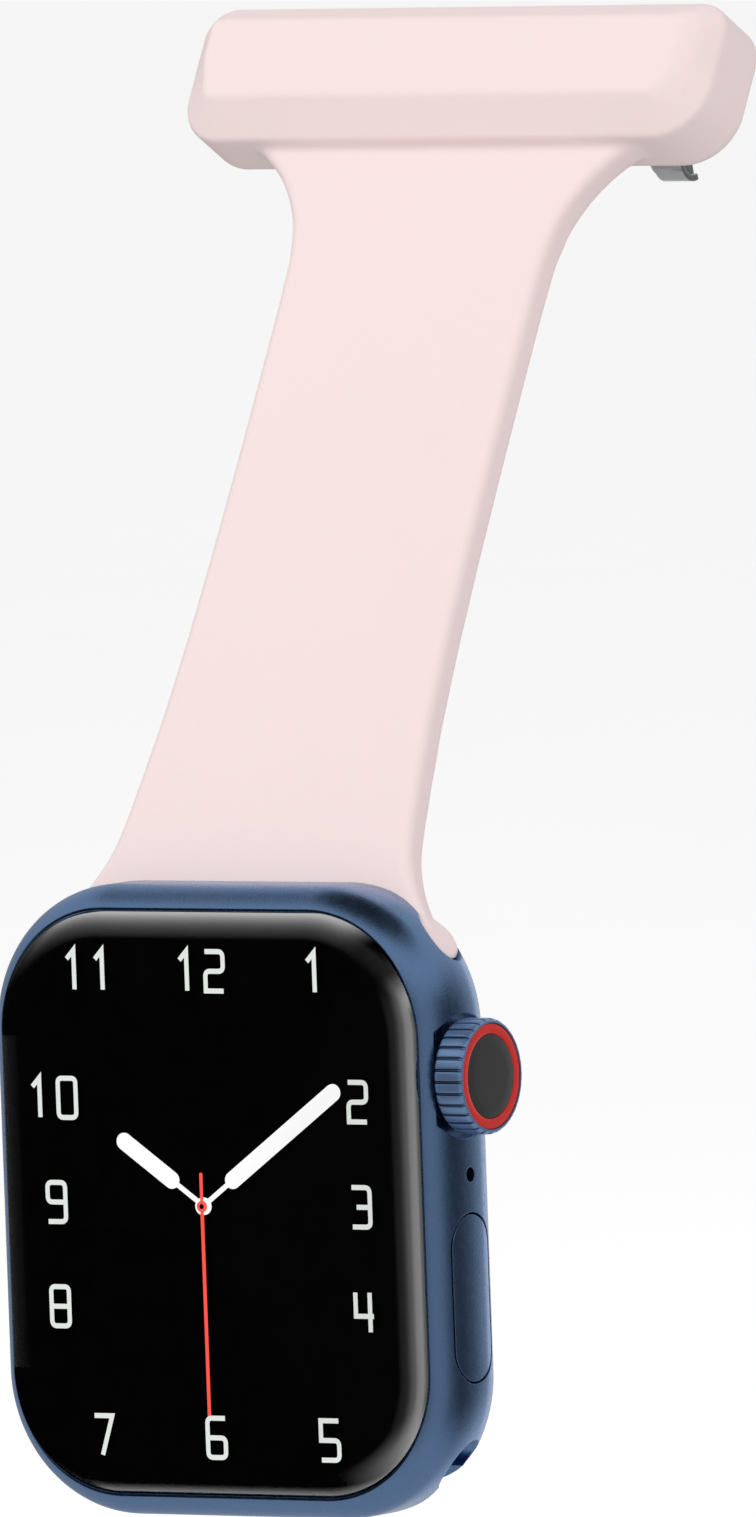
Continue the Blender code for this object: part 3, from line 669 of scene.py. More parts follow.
def smooth_widths():
    """The strap's half widths at a fine step, blurred, with their slope."""
    table = STRAP_WIDTHS[::-1]
    fine_u = np.arange(LUG_U - 4, 4, WIDTH_STEP)
    half = np.interp(fine_u, table[:, 0], table[:, 1])
    kernel = np.exp(-0.5 * (np.arange(-30, 31) * WIDTH_STEP / WIDTH_BLUR) ** 2)
    half = np.convolve(np.pad(half, 30, mode="edge"), kernel / kernel.sum(), mode="valid")
    return fine_u, half, np.gradient(half, fine_u)


FINE_U, FINE_HALF, FINE_SLOPE = smooth_widths()


def smooth_max(first, second, blend):
    share = np.clip(0.5 - 0.5 * (second - first) / blend, 0, 1)
    return second + (first - second) * share + blend * share * (1 - share)


def smooth_min(first, second, blend):
    return -smooth_max(-first, -second, blend)


def bar_field(x, w, u):
    """Bar: flat front, wide bevel all round it, small bevel at the back."""
    depth = -w
    middle = (BAR_HIGH - BAR_LOW) / 2
    corner = np.where(u < middle, np.where(x < 0, 3.3, 4.2), 2.6)
    side = edge_distance(x, u - middle, (BAR_HALF_X, (BAR_HIGH + BAR_LOW) / 2, corner))
    steep = BAR_STEEP_HIGH + (BAR_STEEP_LOW - BAR_STEEP_HIGH) * ease(u, 1.0, -2.5)
    bevel = (side + steep * (depth - BAR_BEVEL_DEPTH)) / np.hypot(1, steep)
    back = (side + (BAR_BACK_BEVEL - depth)) / math.sqrt(2)
    bar = smooth_max(side, bevel, 0.28)
    bar = smooth_max(bar, depth - BAR_THICK, 0.24 + 0.9 * ease(x, 18.0, 20.5))
    return smooth_max(smooth_max(bar, back, 0.5), -depth, 0.4)


def strap_field(x, w, u):
    """Strap: a slab of changing width with rounded edges."""
    half, slope = np.interp(u, FINE_U, FINE_HALF), np.interp(u, FINE_U, FINE_SLOPE)
    over_x = (np.abs(x) - half) / np.sqrt(1 + slope * slope) + STRAP_EDGE
    over_w = np.abs(w - STRAP_W) - STRAP_THICK / 2 + STRAP_EDGE
    strap = np.hypot(np.maximum(over_x, 0), np.maximum(over_w, 0))
    strap = strap + np.minimum(np.maximum(over_x, over_w), 0) - STRAP_EDGE
    return np.maximum(np.maximum(strap, u - STRAP_TOP_U), (LUG_U - 0.2) - u)


def lug_field(x, w, u):
    """Lug: a round bar that fills the slot, trimmed to the case."""
    y = w * LEAN_COS + u * LEAN_SIN - CASE_Y
    z = -w * LEAN_SIN + u * LEAN_COS - CASE_Z
    rod = np.hypot(y - LUG_Y, z - LUG_Z) - LUG_RADIUS
    return smooth_max(rod, edge_distance(x, z, CASE, inset=0.25), 0.45)


def skin(points):
    """Bar, strap and lug in one skin, less the pocket in the bar's back."""
    x, w, u = points[..., 0], points[..., 1], points[..., 2]
    ends = smooth_min(strap_field(x, w, u), lug_field(x, w, u), 0.2)
    body = smooth_min(bar_field(x, w, u), ends, 0.6)
    pocket = np.maximum(edge_distance(x, u, (19.0, 3.75, 0.8)), -1.28 - w)
    return smooth_max(body, -pocket, 0.3)


def gradient(field, points, reach=0.02):
    slopes = np.empty_like(points)
    for k in range(3):
        offset = np.zeros(3)
        offset[k] = reach
        slopes[:, k] = (field(points + offset) - field(points - offset)) / (2 * reach)
    return slopes


def net_quads(solid, ids, axis):
    """Quads round the grid edges along one axis that cross the surface, facing outwards."""
    cells = np.array(solid.shape) - 1
    others = [k for k in range(3) if k != axis]
    layers = np.moveaxis(solid, axis, 0)
    crossing = np.moveaxis(layers[:-1] != layers[1:], 0, axis)
    inside = np.moveaxis(layers[:-1], 0, axis)
    edges = np.argwhere(crossing)
    for k in others:
        edges = edges[(edges[:, k] > 0) & (edges[:, k] < cells[k])]
    outward = inside[tuple(edges.T)]
    if axis == 1:
        outward = ~outward
    ring = []
    for steps in ((-1, -1), (0, -1), (0, 0), (-1, 0)):
        cell = edges.copy()
        cell[:, others] += steps
        ring.append(ids[tuple(cell.T)])
    ring = np.stack(ring, axis=1)
    return np.where(outward[:, None], ring, ring[:, ::-1])


def net_surface(field, low, high, step):
    """Quad mesh of field = 0 on a regular grid, each vertex then walked onto the surface.

    Gives points, quads and normals.
    """
    axes = [np.arange(start, end + step, step) for start, end in zip(low, high)]
    value = field(np.stack(np.meshgrid(*axes, indexing="ij"), axis=-1))
    solid = value < 0
    corners = [(i, j, k) for i in (0, 1) for j in (0, 1) for k in (0, 1)]
    cells = np.array(value.shape) - 1

    def at_corner(grid, corner):
        return grid[tuple(slice(start, start + size) for start, size in zip(corner, cells))]

    count = sum(at_corner(solid, corner).astype(np.int8) for corner in corners)
    active = (count > 0) & (count < 8)
    ids = np.full(active.shape, -1)
    ids[active] = np.arange(active.sum())

    # a vertex per active cell, at the mean of the crossings on the cell's edges
    total, weight = np.zeros((active.sum(), 3)), np.zeros(active.sum())
    for near in corners:
        for axis in range(3):
            if near[axis]:
                continue
            far = tuple(1 if k == axis else near[k] for k in range(3))
            from_value, to_value = at_corner(value, near)[active], at_corner(value, far)[active]
            hit = (from_value < 0) != (to_value < 0)
            share = np.where(hit, from_value / np.where(hit, from_value - to_value, 1), 0)
            point = np.array(near, float) + share[:, None] * (np.array(far) - np.array(near))
            total += point * hit[:, None]
            weight += hit
    points = np.array(low) + (np.argwhere(active) + total / weight[:, None]) * step
    quads = np.concatenate([net_quads(solid, ids, axis) for axis in range(3)])

    for _ in range(4):
        slopes = gradient(field, points)
        steepness = np.maximum((slopes * slopes).sum(1), 0.2)
        points = points - (field(points) / steepness)[:, None] * slopes
    slopes = gradient(field, points)
    return points, quads, slopes / np.linalg.norm(slopes, axis=1)[:, None]


def strap_point(u):
    """A point on the strap's middle line, in metres."""
    return tuple((bar_frame((0, STRAP_W, u)) / 1000).tolist())


def build_silicone():
    step = NET_STEP
    points, quads, normals = net_surface(skin, NET_LOW, NET_HIGH, step)
    band = raw_mesh("silicone_skin", bar_frame(points), quads)
    band.data.shade_smooth()
    band.data.normals_split_custom_set_from_vertices(bar_frame(normals).tolist())
    dress(band, "silicone_pink")
    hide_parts("bar_cover", "fob_strap")
    strap_point(-12)
    strap_point(-40)
    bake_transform(band)


# ---------------------------------------------------------------- watch case and side button
CASE_EDGE = 3.0  # radius of the case's edge rounding
CASE_EDGE_FRONT, CASE_EDGE_BACK = -1.6, 1.2  # y of the centres of the roundings


def case_rows(inset=0.0):
    """Sections of the case from front to back."""
    rows = []
    for degrees in np.linspace(60, 0, 11):
        a = math.radians(degrees)
        rows.append((CASE_EDGE_FRONT - CASE_EDGE * math.sin(a), CASE_EDGE * (1 - math.cos(a))))
    for degrees in np.linspace(0, 62, 11):
        a = math.radians(degrees)
        rows.append((CASE_EDGE_BACK + CASE_EDGE * math.sin(a), CASE_EDGE * (1 - math.cos(a))))
    rows.append((4.2, 2.5))
    return [along(Y, rounded(CASE, depth + inset), y) for y, depth in rows]


def case_surface(points):
    """Distance to and normal of the outer skin of the case."""
    x, y, z = (points - np.array([0, CASE_Y, CASE_Z])).T
    flat = edge_normal(x, z, CASE)
    out = edge_distance(x, z, CASE) + CASE_EDGE  # from the centre line of the edge rounding
    behind = np.where(y > CASE_EDGE_BACK, y - CASE_EDGE_BACK, 0.0)
    off = np.where(y < CASE_EDGE_FRONT, y - CASE_EDGE_FRONT, behind)
    # the side is slightly barrelled: its normal turns by a few degrees over the flat
    fade = 1 - np.clip(np.abs(off) / 2.6, 0, 1)
    bend = math.radians(8.0) * np.clip((y + 0.2) / 1.4, -1, 1) * fade
    angle = np.arctan2(off, out) + bend
    normal = np.stack([flat[:, 0] * np.cos(angle), np.sin(angle), flat[:, 1] * np.cos(angle)], 1)
    return np.hypot(out, off) - CASE_EDGE, normal


def slot_tools(sign):
    """Round bore through the case for a lug and its mouth; sign 1 is the upper, -1 the lower."""
    middle = np.array([LUG_Y, sign * LUG_Z])
    out = np.array([LEAN_SIN, sign * LEAN_COS]) * 9
    half = np.array([LEAN_COS, -sign * LEAN_SIN]) * SLOT_MOUTH / 2
    mouth = [middle + half, middle - half, middle - half + out, middle + half + out]
    bore = circle(SLOT_RADIUS, 72) + middle
    return tool(X, bore, -30, 30), tool(X, mouth, -30.5, 30.5)


def release_outline(half, radius, sign):
    """Slot shape lying along x, above or below the middle of the case."""
    return capsule(half, radius, 20)[:, ::-1] + np.array([0, sign * RELEASE_Z])


def case_tools():
    button_hole = capsule(BUTTON_HALF + 0.17, BUTTON_RADIUS + 0.17, 32)
    side_slot = capsule(2.6, 0.55, 16)
    # recess round the crown: x, radius
    crown_recess = ((18.45, 4.43), (18.86, 4.43), (18.98, 4.5), (26, 4.52))
    return [
        # seat of the cover glass, then the hollow behind it in two steps
        tool(Y, rounded(GLASS, inset=-0.12), -7, -3.1),
        tool(Y, rounded((16.7, 19.9, 8.2)), -3.5, -1.15),
        tool(Y, rounded((16.4, 13.6, 3.0), steps=8), -1.6, 2.9),
        # round opening in the back and the wider seat round it
        tool(Y, circle(11.3, 96), 2.5, 7),
        tool(Y, circle(13.1, 128), 3.45, 8),
        *slot_tools(1),
        *slot_tools(-1),
        tool(X, circle(1.6, 40) + CROWN_CENTRE, 15, 25),
        lathe("tool", X, crown_recess, 112, CROWN_CENTRE),
        tool(X, button_hole + BUTTON_CENTRE, 17.05, 27),
        tool(X, circle(0.8, 32) + BUTTON_CENTRE, 15.2, 17.5),
        # small hole in the right side between crown and button
        tool(X, circle(0.54, 40) + (-0.03, 1.98), 15.4, 28),
        # two slots in the left side
        tool(X, side_slot + (0.1, -7.9), -29, -15.6),
        tool(X, side_slot + (0.1, -1.6), -29.5, -15.7),
        # pockets of the two release keys
        *[tool(Y, release_outline(2.6, 0.98, sign), 1.2, 7.5) for sign in (1, -1)],
    ]


def build_case():
    case = make("case_shell", loft(case_rows()))
    cut(case, *case_tools())
    smooth(case, angle=24)
    guided_normals(case, case_surface, tolerance_deg=18)
    piece(case, "anodised_aluminium", "watch", "watch_case")


def build_side_button():
    """A cap trimmed to just inside the skin of the case, with a short stem."""
    cap = capsule(BUTTON_HALF, BUTTON_RADIUS, 32) + BUTTON_CENTRE
    button = prism("side_button_cap", X, cap, 17.38, 24)
    common(button, make("tool", loft(case_rows(inset=0.02))))
    join(button, tool(X, circle(0.7, 24) + BUTTON_CENTRE, 16.1, 17.6))
    smooth(button, angle=24)
    guided_normals(button, case_surface, tolerance_deg=18, within_mm=0.06)
    piece(button, "anodised_aluminium", "side_button", "side_button")


# ---------------------------------------------------------------- cover glass and display
GLASS_BACK_Y, GLASS_FRONT_Y = -3.42, -5.1
RIM_Y, RIM_HIGH, RIM_WIDE = -4.2, 0.9, 2.4  # the glass's rounded rim: back end, rise, width
INK_INSET = 0.07


def rim_rows(front_y, inset=0.0):
    """Rows (y, inset) of the rounded rim, from its back end to the last one behind front_y."""
    rows = []
    for degrees in np.linspace(0, 90, 14):
        a = math.radians(degrees)
        y = RIM_Y - RIM_HIGH * math.sin(a)
        if y < front_y:
            break
        rows.append((y, RIM_WIDE * (1 - math.cos(a)) + inset))
    return rows


def glass_plate(name, rows):
    return make(name, loft([along(Y, rounded(GLASS, inset), y) for y, inset in rows]))


def glass_surface(points):
    """Distance to and normal of the front of the cover glass."""
    x, y, z = (points - np.array([0, CASE_Y, CASE_Z])).T
    flat = edge_normal(x, z, GLASS)
    out = np.maximum(edge_distance(x, z, GLASS) + RIM_WIDE, 0)
    rise = np.minimum(y - RIM_Y, 0)
    # the rim is a soft round: it tilts more and more towards the edge
    share = np.clip(out / RIM_WIDE, 0, 1)
    tilt = np.radians(9 * ease(share, 0, 0.4) + 21 * share + 32 * share**5)
    normal = np.stack([flat[:, 0] * np.sin(tilt), -np.cos(tilt), flat[:, 1] * np.sin(tilt)], 1)
    return (np.hypot(out / RIM_WIDE, rise / RIM_HIGH) - 1) * RIM_HIGH, normal


def build_glass():
    glass = glass_plate("cover_glass", [(GLASS_BACK_Y, 0.0)] + rim_rows(GLASS_FRONT_Y))
    smooth(glass, angle=40)
    guided_normals(glass, glass_surface, tolerance_deg=42, within_mm=0.05)
    piece(glass, "black_glass", "watch", "front_crystal")


def build_ink():
    """The black body inside the glass."""
    rows = [(-3.44, INK_INSET)] + rim_rows(-4.55, INK_INSET) + [(-4.545, 0.55)]
    ob = smooth(glass_plate("glass_ink", rows))
    piece(ob, "display", "watch", "display_panel")


# ---------------------------------------------------------------- numerals
# strokes of each digit, 1 wide and 2 high: x, z and, where given, a share of the corner radius
DIGITS = {
    "0": [[(0.5, 2), (1, 2, 1), (1, 0, 1), (0, 0, 1), (0, 2, 1), (0.5, 2)]],
    "1": [[(0.15, 1.55), (0.55, 2), (0.55, 0)]],
    "2": [[(0, 2), (1, 2, 1), (1, 1, 1), (0, 1, 1), (0, 0), (1, 0)]],
    "3": [[(0, 2), (1, 2, 1), (1, 0, 1), (0, 0)], [(0.25, 1), (1, 1)]],
    "4": [[(0, 2), (0, 0.8), (1, 0.8)], [(0.8, 2), (0.8, 0)]],
    "5": [[(1, 2), (0, 2), (0, 1), (1, 1, 1), (1, 0, 1), (0, 0)]],
    "6": [[(1, 2), (0, 2, 1), (0, 0, 1), (1, 0, 1), (1, 1, 1), (0, 1)]],
    "7": [[(0, 2), (1, 2), (0.4, 0)]],
    "8": [[(0.5, 2), (1, 2, 1), (1, 0, 1), (0, 0, 1), (0, 2, 1), (0.5, 2)], [(0, 1), (1, 1)]],
    "9": [[(0, 0), (1, 0, 1), (1, 2, 1), (0, 2, 1), (0, 1, 1), (1, 1)]],
}
DIGIT_WIDE, DIGIT_HIGH, DIGIT_GAP, DIGIT_ROUND = 1.5, 2.8, 0.9, 0.4
STROKE_WIDE, STROKE_Y = 0.36, -4.95
NUMERALS_HALF_X, NUMERALS_HALF_Z = 12.9, 16.6  # the rectangle the numbers stand on


def round_corners(points):
    """A path with each inner corner rounded to its own radius: points are x, z[, radius]."""
    places = [np.array(point[:2], float) for point in points]
    path = []
    for k, place in enumerate(places):
        radius = points[k][2] if len(points[k]) > 2 else 0.0
        if radius <= 0 or k in (0, len(places) - 1):
            path.append(place)
            continue
        back, ahead = places[k - 1] - place, places[k + 1] - place
        back_length, ahead_length = np.linalg.norm(back), np.linalg.norm(ahead)
        radius = min(radius, back_length * 0.48, ahead_length * 0.48)
        start = place + back / back_length * radius
        end = place + ahead / ahead_length * radius
        for t in np.linspace(0, 1, 9):
            path.append((1 - t) ** 2 * start + 2 * t * (1 - t) * place + t * t * end)
    return np.array(path)


def stroke(points):
    """Flat stroke with mitred corners and square ends."""
    path = round_corners(points)
    run = np.diff(path, axis=0)
    run /= np.maximum(np.linalg.norm(run, axis=1), 1e-9)[:, None]
    side = np.stack([-run[:, 1], run[:, 0]], axis=-1)
    mitres = np.vstack([side[:1], side]) + np.vstack([side, side[-1:]])
    mitres /= np.maximum(np.sum(mitres * mitres, axis=1), 0.35)[:, None] / 2
    verts = []
    for place, mitre in zip(path, mitres):
        for sign in (1, -1):
            x, z = place + sign * mitre * STROKE_WIDE / 2
            verts.append((x, STROKE_Y, z))
    faces = [[2 * k, 2 * k + 1, 2 * k + 3, 2 * k + 2] for k in range(len(path) - 1)]
    return verts, faces


def digit_strokes(digit, left, middle_z):
    for line in DIGITS[digit]:
        yield stroke([
            (
                left + point[0] * DIGIT_WIDE,
                middle_z + (point[1] - 1) * DIGIT_HIGH / 2,
                *[DIGIT_ROUND * share for share in point[2:]],
            )
            for point in line
        ])


def build_numerals():
    """Upright numbers 1 to 12 on a rectangle inside the glass's edge."""
    strokes = []
    for hour in range(1, 13):
        angle = math.radians(30 * hour)
        x, z = math.sin(angle), math.cos(angle)
        reach = min(NUMERALS_HALF_X / max(abs(x), 1e-6), NUMERALS_HALF_Z / max(abs(z), 1e-6))
        text = str(hour)
        left = reach * x - (len(text) * DIGIT_WIDE + (len(text) - 1) * DIGIT_GAP) / 2
        for k, digit in enumerate(text):
            strokes += digit_strokes(digit, left + k * (DIGIT_WIDE + DIGIT_GAP), reach * z)
    piece(make("dial_numerals", merge(strokes)), "numeral_white", "watch", slot="hand_white")


# ---------------------------------------------------------------- hands
HOUR, MINUTE, SECOND = 10, 9, 30  # the time shown
HAND_THICK = 0.1
HAND_DISC, SECOND_DISC, HUB_DOT = 0.62, 0.40, 0.19  # radii round the hub


def hand(body, clock_deg, y, parts, disc, key, hole=0.0):
    """A hand at a clock angle. Parts: start and end along the hand, half width."""
    angle = math.radians(clock_deg)
    ahead = np.array([math.sin(angle), math.cos(angle)])
    across = np.array([ahead[1], -ahead[0]])
    back_y = y + HAND_THICK
    shapes = []
    for start, end, half in parts:
        bar = capsule((end - start) / 2, half, 16)
        run = (bar[:, 1] + (start + end) / 2)[:, None]
        shapes.append(prism_shape(Y, run * ahead + bar[:, 0][:, None] * across, y, back_y))
    if hole:
        rings = ((disc, y - 0.01), (disc, back_y), (hole, back_y), (hole, y - 0.01))
        sections = [along(Y, circle(radius, 40), place) for radius, place in rings]
        shapes.append(loft(sections, closed=True))
    else:
        shapes.append(prism_shape(Y, circle(disc, 40), y, back_y))
    piece(make("hand_" + body, merge(shapes), hub_frame), key, body, body + "_hand")


def build_hands():
    stem = (-0.2, 4.0, 0.17)
    hand("hour", clock_deg=30 * HOUR + MINUTE / 2, y=-4.66, parts=[stem, (2.6, 8.6, 0.62)],
         disc=HAND_DISC, key="hand_white")
    hand("minute", clock_deg=6 * MINUTE, y=-4.79, parts=[stem, (2.6, 14.6, 0.62)],
         disc=HAND_DISC, key="hand_white")
    hand("second", clock_deg=6 * SECOND, y=-4.92, parts=[(-2.4, -0.3, 0.1), (0.3, 15.2, 0.11)],
         disc=SECOND_DISC, key="hand_red", hole=HUB_DOT)
    dot = prism("hub_dot", Y, circle(HUB_DOT, 32), -4.91, -4.83, hub_frame)
    piece(dot, "hub_black", "second", slot="display")


# ---------------------------------------------------------------- crown
TEETH, FIRST_GROOVE = 30, math.radians(181.8)
# one tooth of the knurl: share of the pitch, share of the groove depth
TOOTH = [
    (-0.175, 0.0), (-0.145, 0.07), (-0.115, 1.0), (-0.06, 1.0), (-0.04, 0.5), (0.04, 0.5),
    (0.06, 1.0), (0.115, 1.0), (0.145, 0.07), (0.175, 0.0), (0.28, -0.02), (0.5, -0.05),
    (0.72, -0.02),
]
# crown wheel from the case outwards: x, radius, groove depth
WHEEL_ROWS = (
    (18.9, 3.7, 0.02), (19.02, 3.95, 0.16), (19.15, 4.06, 0.2), (19.35, CROWN_RADIUS, 0.24),
    (20.9, CROWN_RADIUS, 0.24), (21.02, 4.1, 0.22), (21.12, 4.06, 0.17), (21.21, 4.0, 0.1),
    (21.28, 3.93, 0.03), (21.3, 3.88, 0.0), (21.3, 3.82, 0.0),
)
# x, radius
RED_RING = [
    (20.78, 3.76), (21.15, 3.76), (21.21, 3.73), (21.24, 3.67), (21.24, 3.1), (21.21, 3.03),
    (21.16, 3.0), (20.78, 3.0),
]
DARK_CAP = [
    (20.78, 2.98), (21.16, 2.98), (21.21, 2.95), (21.24, 2.88), (21.255, 2.0), (21.262, 1.0),
    (21.265, 0.3),
]


def knurl(radius, depth):
    pitch = 2 * math.pi / TEETH
    angles = np.array([FIRST_GROOVE + pitch * (k + at) for k in range(TEETH) for at, _ in TOOTH])
    radii = np.array([radius - depth * share for _, share in TOOTH] * TEETH)
    return np.stack([radii * np.cos(angles), radii * np.sin(angles)], axis=-1)


def build_crown_wheel():
    rows = [along(X, knurl(radius, depth) + CROWN_CENTRE, x) for x, radius, depth in WHEEL_ROWS]
    wheel = make("crown_wheel", loft(rows))
    cut(
        wheel,
        tool(X, circle(3.78, 96) + CROWN_CENTRE, 20.75, 23),
        tool(X, circle(1.05, 40) + CROWN_CENTRE, 18, 20.2),
    )
    smooth(wheel, angle=35)
    piece(wheel, "crown_aluminium", "crown", "crown_knob", slot="anodised_aluminium")


def crown_part(name, stations, key, replaced, closed=False, slot=None):
    ob = lathe(name, X, stations, 112, CROWN_CENTRE, closed=closed)
    piece(smooth(ob, angle=35), key, "crown", replaced, slot=slot)


def build_crown():
    build_crown_wheel()
    crown_part("crown_red_ring", RED_RING, "red_enamel", "crown_ring", closed=True)
    crown_part("crown_dark_cap", DARK_CAP, "crown_cap_grey", "crown_cap",
               slot="dark_grey_polymer")


# ---------------------------------------------------------------- back of the watch
BACK_SEAT_Y, BACK_RADIUS, BACK_HOLE, LENS_RADIUS = 3.5, 12.95, 7.0, 6.9
EYE_INNER, EYE_OUTER, EYE_HALF_DEG, EYE_DISC = 2.3, 5.4, 32, 1.55
EYE_LIFT = 0.004


def dome(radius):
    """y of the domed back at a radius."""
    return 5.6 - 0.0079 * radius * radius


def build_back_glass():
    stations = [
        (BACK_SEAT_Y, BACK_RADIUS), (dome(BACK_RADIUS) - 0.14, BACK_RADIUS),
        (dome(12.9) - 0.04, 12.9), (dome(12.7), 12.7),
        *[(dome(radius), radius) for radius in np.linspace(12.0, 7.1, 9)],
        (dome(BACK_HOLE) - 0.04, BACK_HOLE), (BACK_SEAT_Y, BACK_HOLE),
    ]
    ob = smooth(lathe("back_glass", Y, stations, 144, closed=True))
    piece(ob, "back_ceramic", "watch", "back_crystal")


def build_lens():
    stations = [
        (BACK_SEAT_Y, LENS_RADIUS), (dome(LENS_RADIUS) - 0.03, LENS_RADIUS),
        *[(dome(radius), radius) for radius in np.linspace(6.82, 0.3, 12)],
    ]
    ob = smooth(lathe("heart_window", Y, stations, 120))
    piece(ob, "lens_glass", "watch", "sensor_lens")


def on_dome(radius, angles):
    y = dome(radius) + EYE_LIFT
    return [(radius * math.cos(a), y, radius * math.sin(a)) for a in angles]


def build_sensor_eyes():
    """Four sectors round a disc, laid just over the lens."""
    shapes = []
    for k in range(4):
        spread = np.linspace(-EYE_HALF_DEG, EYE_HALF_DEG, 20)
        angles = [math.radians(90 * k + turn) for turn in spread]
        sector = on_dome(EYE_OUTER, angles) + on_dome(EYE_INNER, angles[::-1])
        shapes.append((sector, [range(40)]))
    disc = on_dome(EYE_DISC, np.linspace(0, 2 * math.pi, 36, endpoint=False))
    shapes.append((disc, [range(36)]))
    piece(make("sensor_eyes", merge(shapes)), "sensor_eye", "watch", slot="lens_glass")


def build_electrode_ring():
    profile = ((7.32, -0.02), (7.3, 0.006), (6.96, 0.006), (6.94, -0.02))  # radius, lift
    stations = [(dome(radius) + lift, radius) for radius, lift in profile]
    ob = smooth(lathe("electrode_ring", Y, stations, 120, closed=True))
    piece(ob, "electrode", "watch", slot="stainless_steel")


def build_release_keys():
    rows = [(2.7, 0.0), (4.08, 0.0), (4.16, 0.03), (4.21, 0.08), (4.24, 0.15)]  # y, inset
    for sign, tag in ((1, "upper"), (-1, "lower")):
        sections = [
            along(Y, release_outline(2.5 - inset, 0.9 - inset, sign), y) for y, inset in rows
        ]
        ob = smooth(make("release_key_" + tag, loft(sections)))
        piece(ob, "anodised_aluminium", "release_" + tag, "release_button_" + tag)


# ---------------------------------------------------------------- pin on the bar's back
RIVET_X, RIVET_U = 11.3, 1.0
FOOT_W = (0.03, 0.35)  # span of the feet that stand on the plate
EAR_OUTER, EAR_INNER, EAR_RADIUS = 1.5, 1.08, 1.2
HINGE_BORE = 0.56
# rivet head: w, radius
RIVET_ROWS = [
    (-1.2, 0.66), (-0.03, 0.66), (-0.02, 1.15), (0.06, 1.15), (0.15, 1.08), (0.22, 0.92),
    (0.27, 0.68), (0.295, 0.4), (0.3, 0.15),
]
# needle from the hinge to its point: x, radius
SHANK_ROWS = (
    (PIN_X + 0.7, 0.45), (14.0, 0.45), (14.8, 0.44), (15.6, 0.40), (16.2, 0.36), (16.9, 0.27),
    (17.5, 0.16), (18.0, 0.04),
)


def bar_box(name, x_span, w_span, u_span):
    (x0, x1), (u0, u1) = x_span, u_span
    return prism(name, Y, [(x0, u0), (x1, u0), (x1, u1), (x0, u1)], *w_span, bar_frame)


def hinge_rod(name, half, radius, edge=0.0, steps=48):
    """Rod along u on the hinge axis, with its ends chamfered by the edge."""
    low, high = PIN_U - half, PIN_U + half
    stations = [(low, radius), (high, radius)]
    if edge:
        stations = [
            (low, radius - edge), (low + edge, radius), (high - edge, radius),
            (high, radius - edge),
        ]
    return lathe(name, Z, stations, steps, (PIN_X, PIN_W), bar_frame)


def build_pin_plate():
    """Flat plate with a raised pad and two rivet holes."""
    plate = prism(
        "pin_plate", Y, rounded((18.8, 3.6, 0.8), steps=12), -0.54, -0.06, bar_frame)
    join(plate, tool(Y, rounded((9.0, 2.7, 0.5), steps=8) + (0, 0.7), -0.3, 0.0, bar_frame))
    for x in (-RIVET_X, RIVET_X):
        cut(plate, tool(Y, circle(0.7, 48) + (x, RIVET_U), -2.1, 0.6, bar_frame))
    soft_edges(plate, width_mm=0.05)
    piece(plate, "stainless_steel", "fob", "pin_base_plate")


def build_rivets():
    for tag, x in (("left", -RIVET_X), ("right", RIVET_X)):
        ob = lathe("rivet_head_" + tag, Y, RIVET_ROWS, 48, (x, RIVET_U), bar_frame)
        piece(smooth(ob, angle=50), "stainless_steel", "fob", "rivet_" + tag)


def build_hinge_bracket():
    """A foot with two round-topped ears that hold the axle."""
    bracket = bar_box(
        "hinge_bracket", (-17.0, -13.2), FOOT_W, (PIN_U - EAR_OUTER, PIN_U + EAR_OUTER))
    left, right = PIN_X - EAR_RADIUS, PIN_X + EAR_RADIUS
    top = [
        (PIN_X + EAR_RADIUS * math.cos(a), PIN_W + EAR_RADIUS * math.sin(a))
        for a in np.linspace(0.02, math.pi - 0.02, 24)
    ]
    ear = [(left, 0.1), (right, 0.1), (right, PIN_W), *top, (left, PIN_W)]
    join(bracket, tool(Z, ear, PIN_U - EAR_OUTER, PIN_U - EAR_INNER, bar_frame))
    join(bracket, tool(Z, ear, PIN_U + EAR_INNER, PIN_U + EAR_OUTER, bar_frame))
    cut(bracket, hinge_rod("tool", half=3, radius=HINGE_BORE))
    soft_edges(bracket, width_mm=0.07)
    piece(bracket, "stainless_steel", "fob", "pin_bracket")


def build_hinge_axle():
    ob = hinge_rod("hinge_axle", half=1.7, radius=0.5, edge=0.12)
    piece(smooth(ob, angle=50), "stainless_steel", "fob", "pin_axle")


def build_needle():
    """A hinge barrel with the tapering needle joined to it."""
    needle = hinge_rod("needle", half=0.98, radius=1.0, edge=0.1, steps=56)
    join(needle, lathe("tool", X, SHANK_ROWS, 40, (PIN_W, PIN_U), bar_frame))
    cut(needle, hinge_rod("tool", half=2, radius=HINGE_BORE))
    smooth(needle, angle=32)
    piece(needle, "stainless_steel", "needle", "pin_needle")


def open_ring(name, x_span, inner, outer, gap_deg, steps=64):
    """Ring round the needle's line, open for gap_deg to either side of its back."""
    angles = np.radians(np.linspace(gap_deg, 360 - gap_deg, steps))
    ring = [(PIN_W + outer * math.cos(a), PIN_U + outer * math.sin(a)) for a in angles]
    ring += [(PIN_W + inner * math.cos(a), PIN_U + inner * math.sin(a)) for a in angles[::-1]]
    count = len(ring)
    verts = [(x, w, u) for x in x_span for w, u in ring]
    faces = []
    for i in range(count // 2 - 1):
        j = count - 1 - i
        faces.append([i, i + 1, j - 1, j])
        faces.append([count + i, count + j, count + j - 1, count + i + 1])
    for i in range(count):
        j = (i + 1) % count
        faces.append([i, count + i, count + j, j])
    return make(name, (verts, faces), bar_frame)


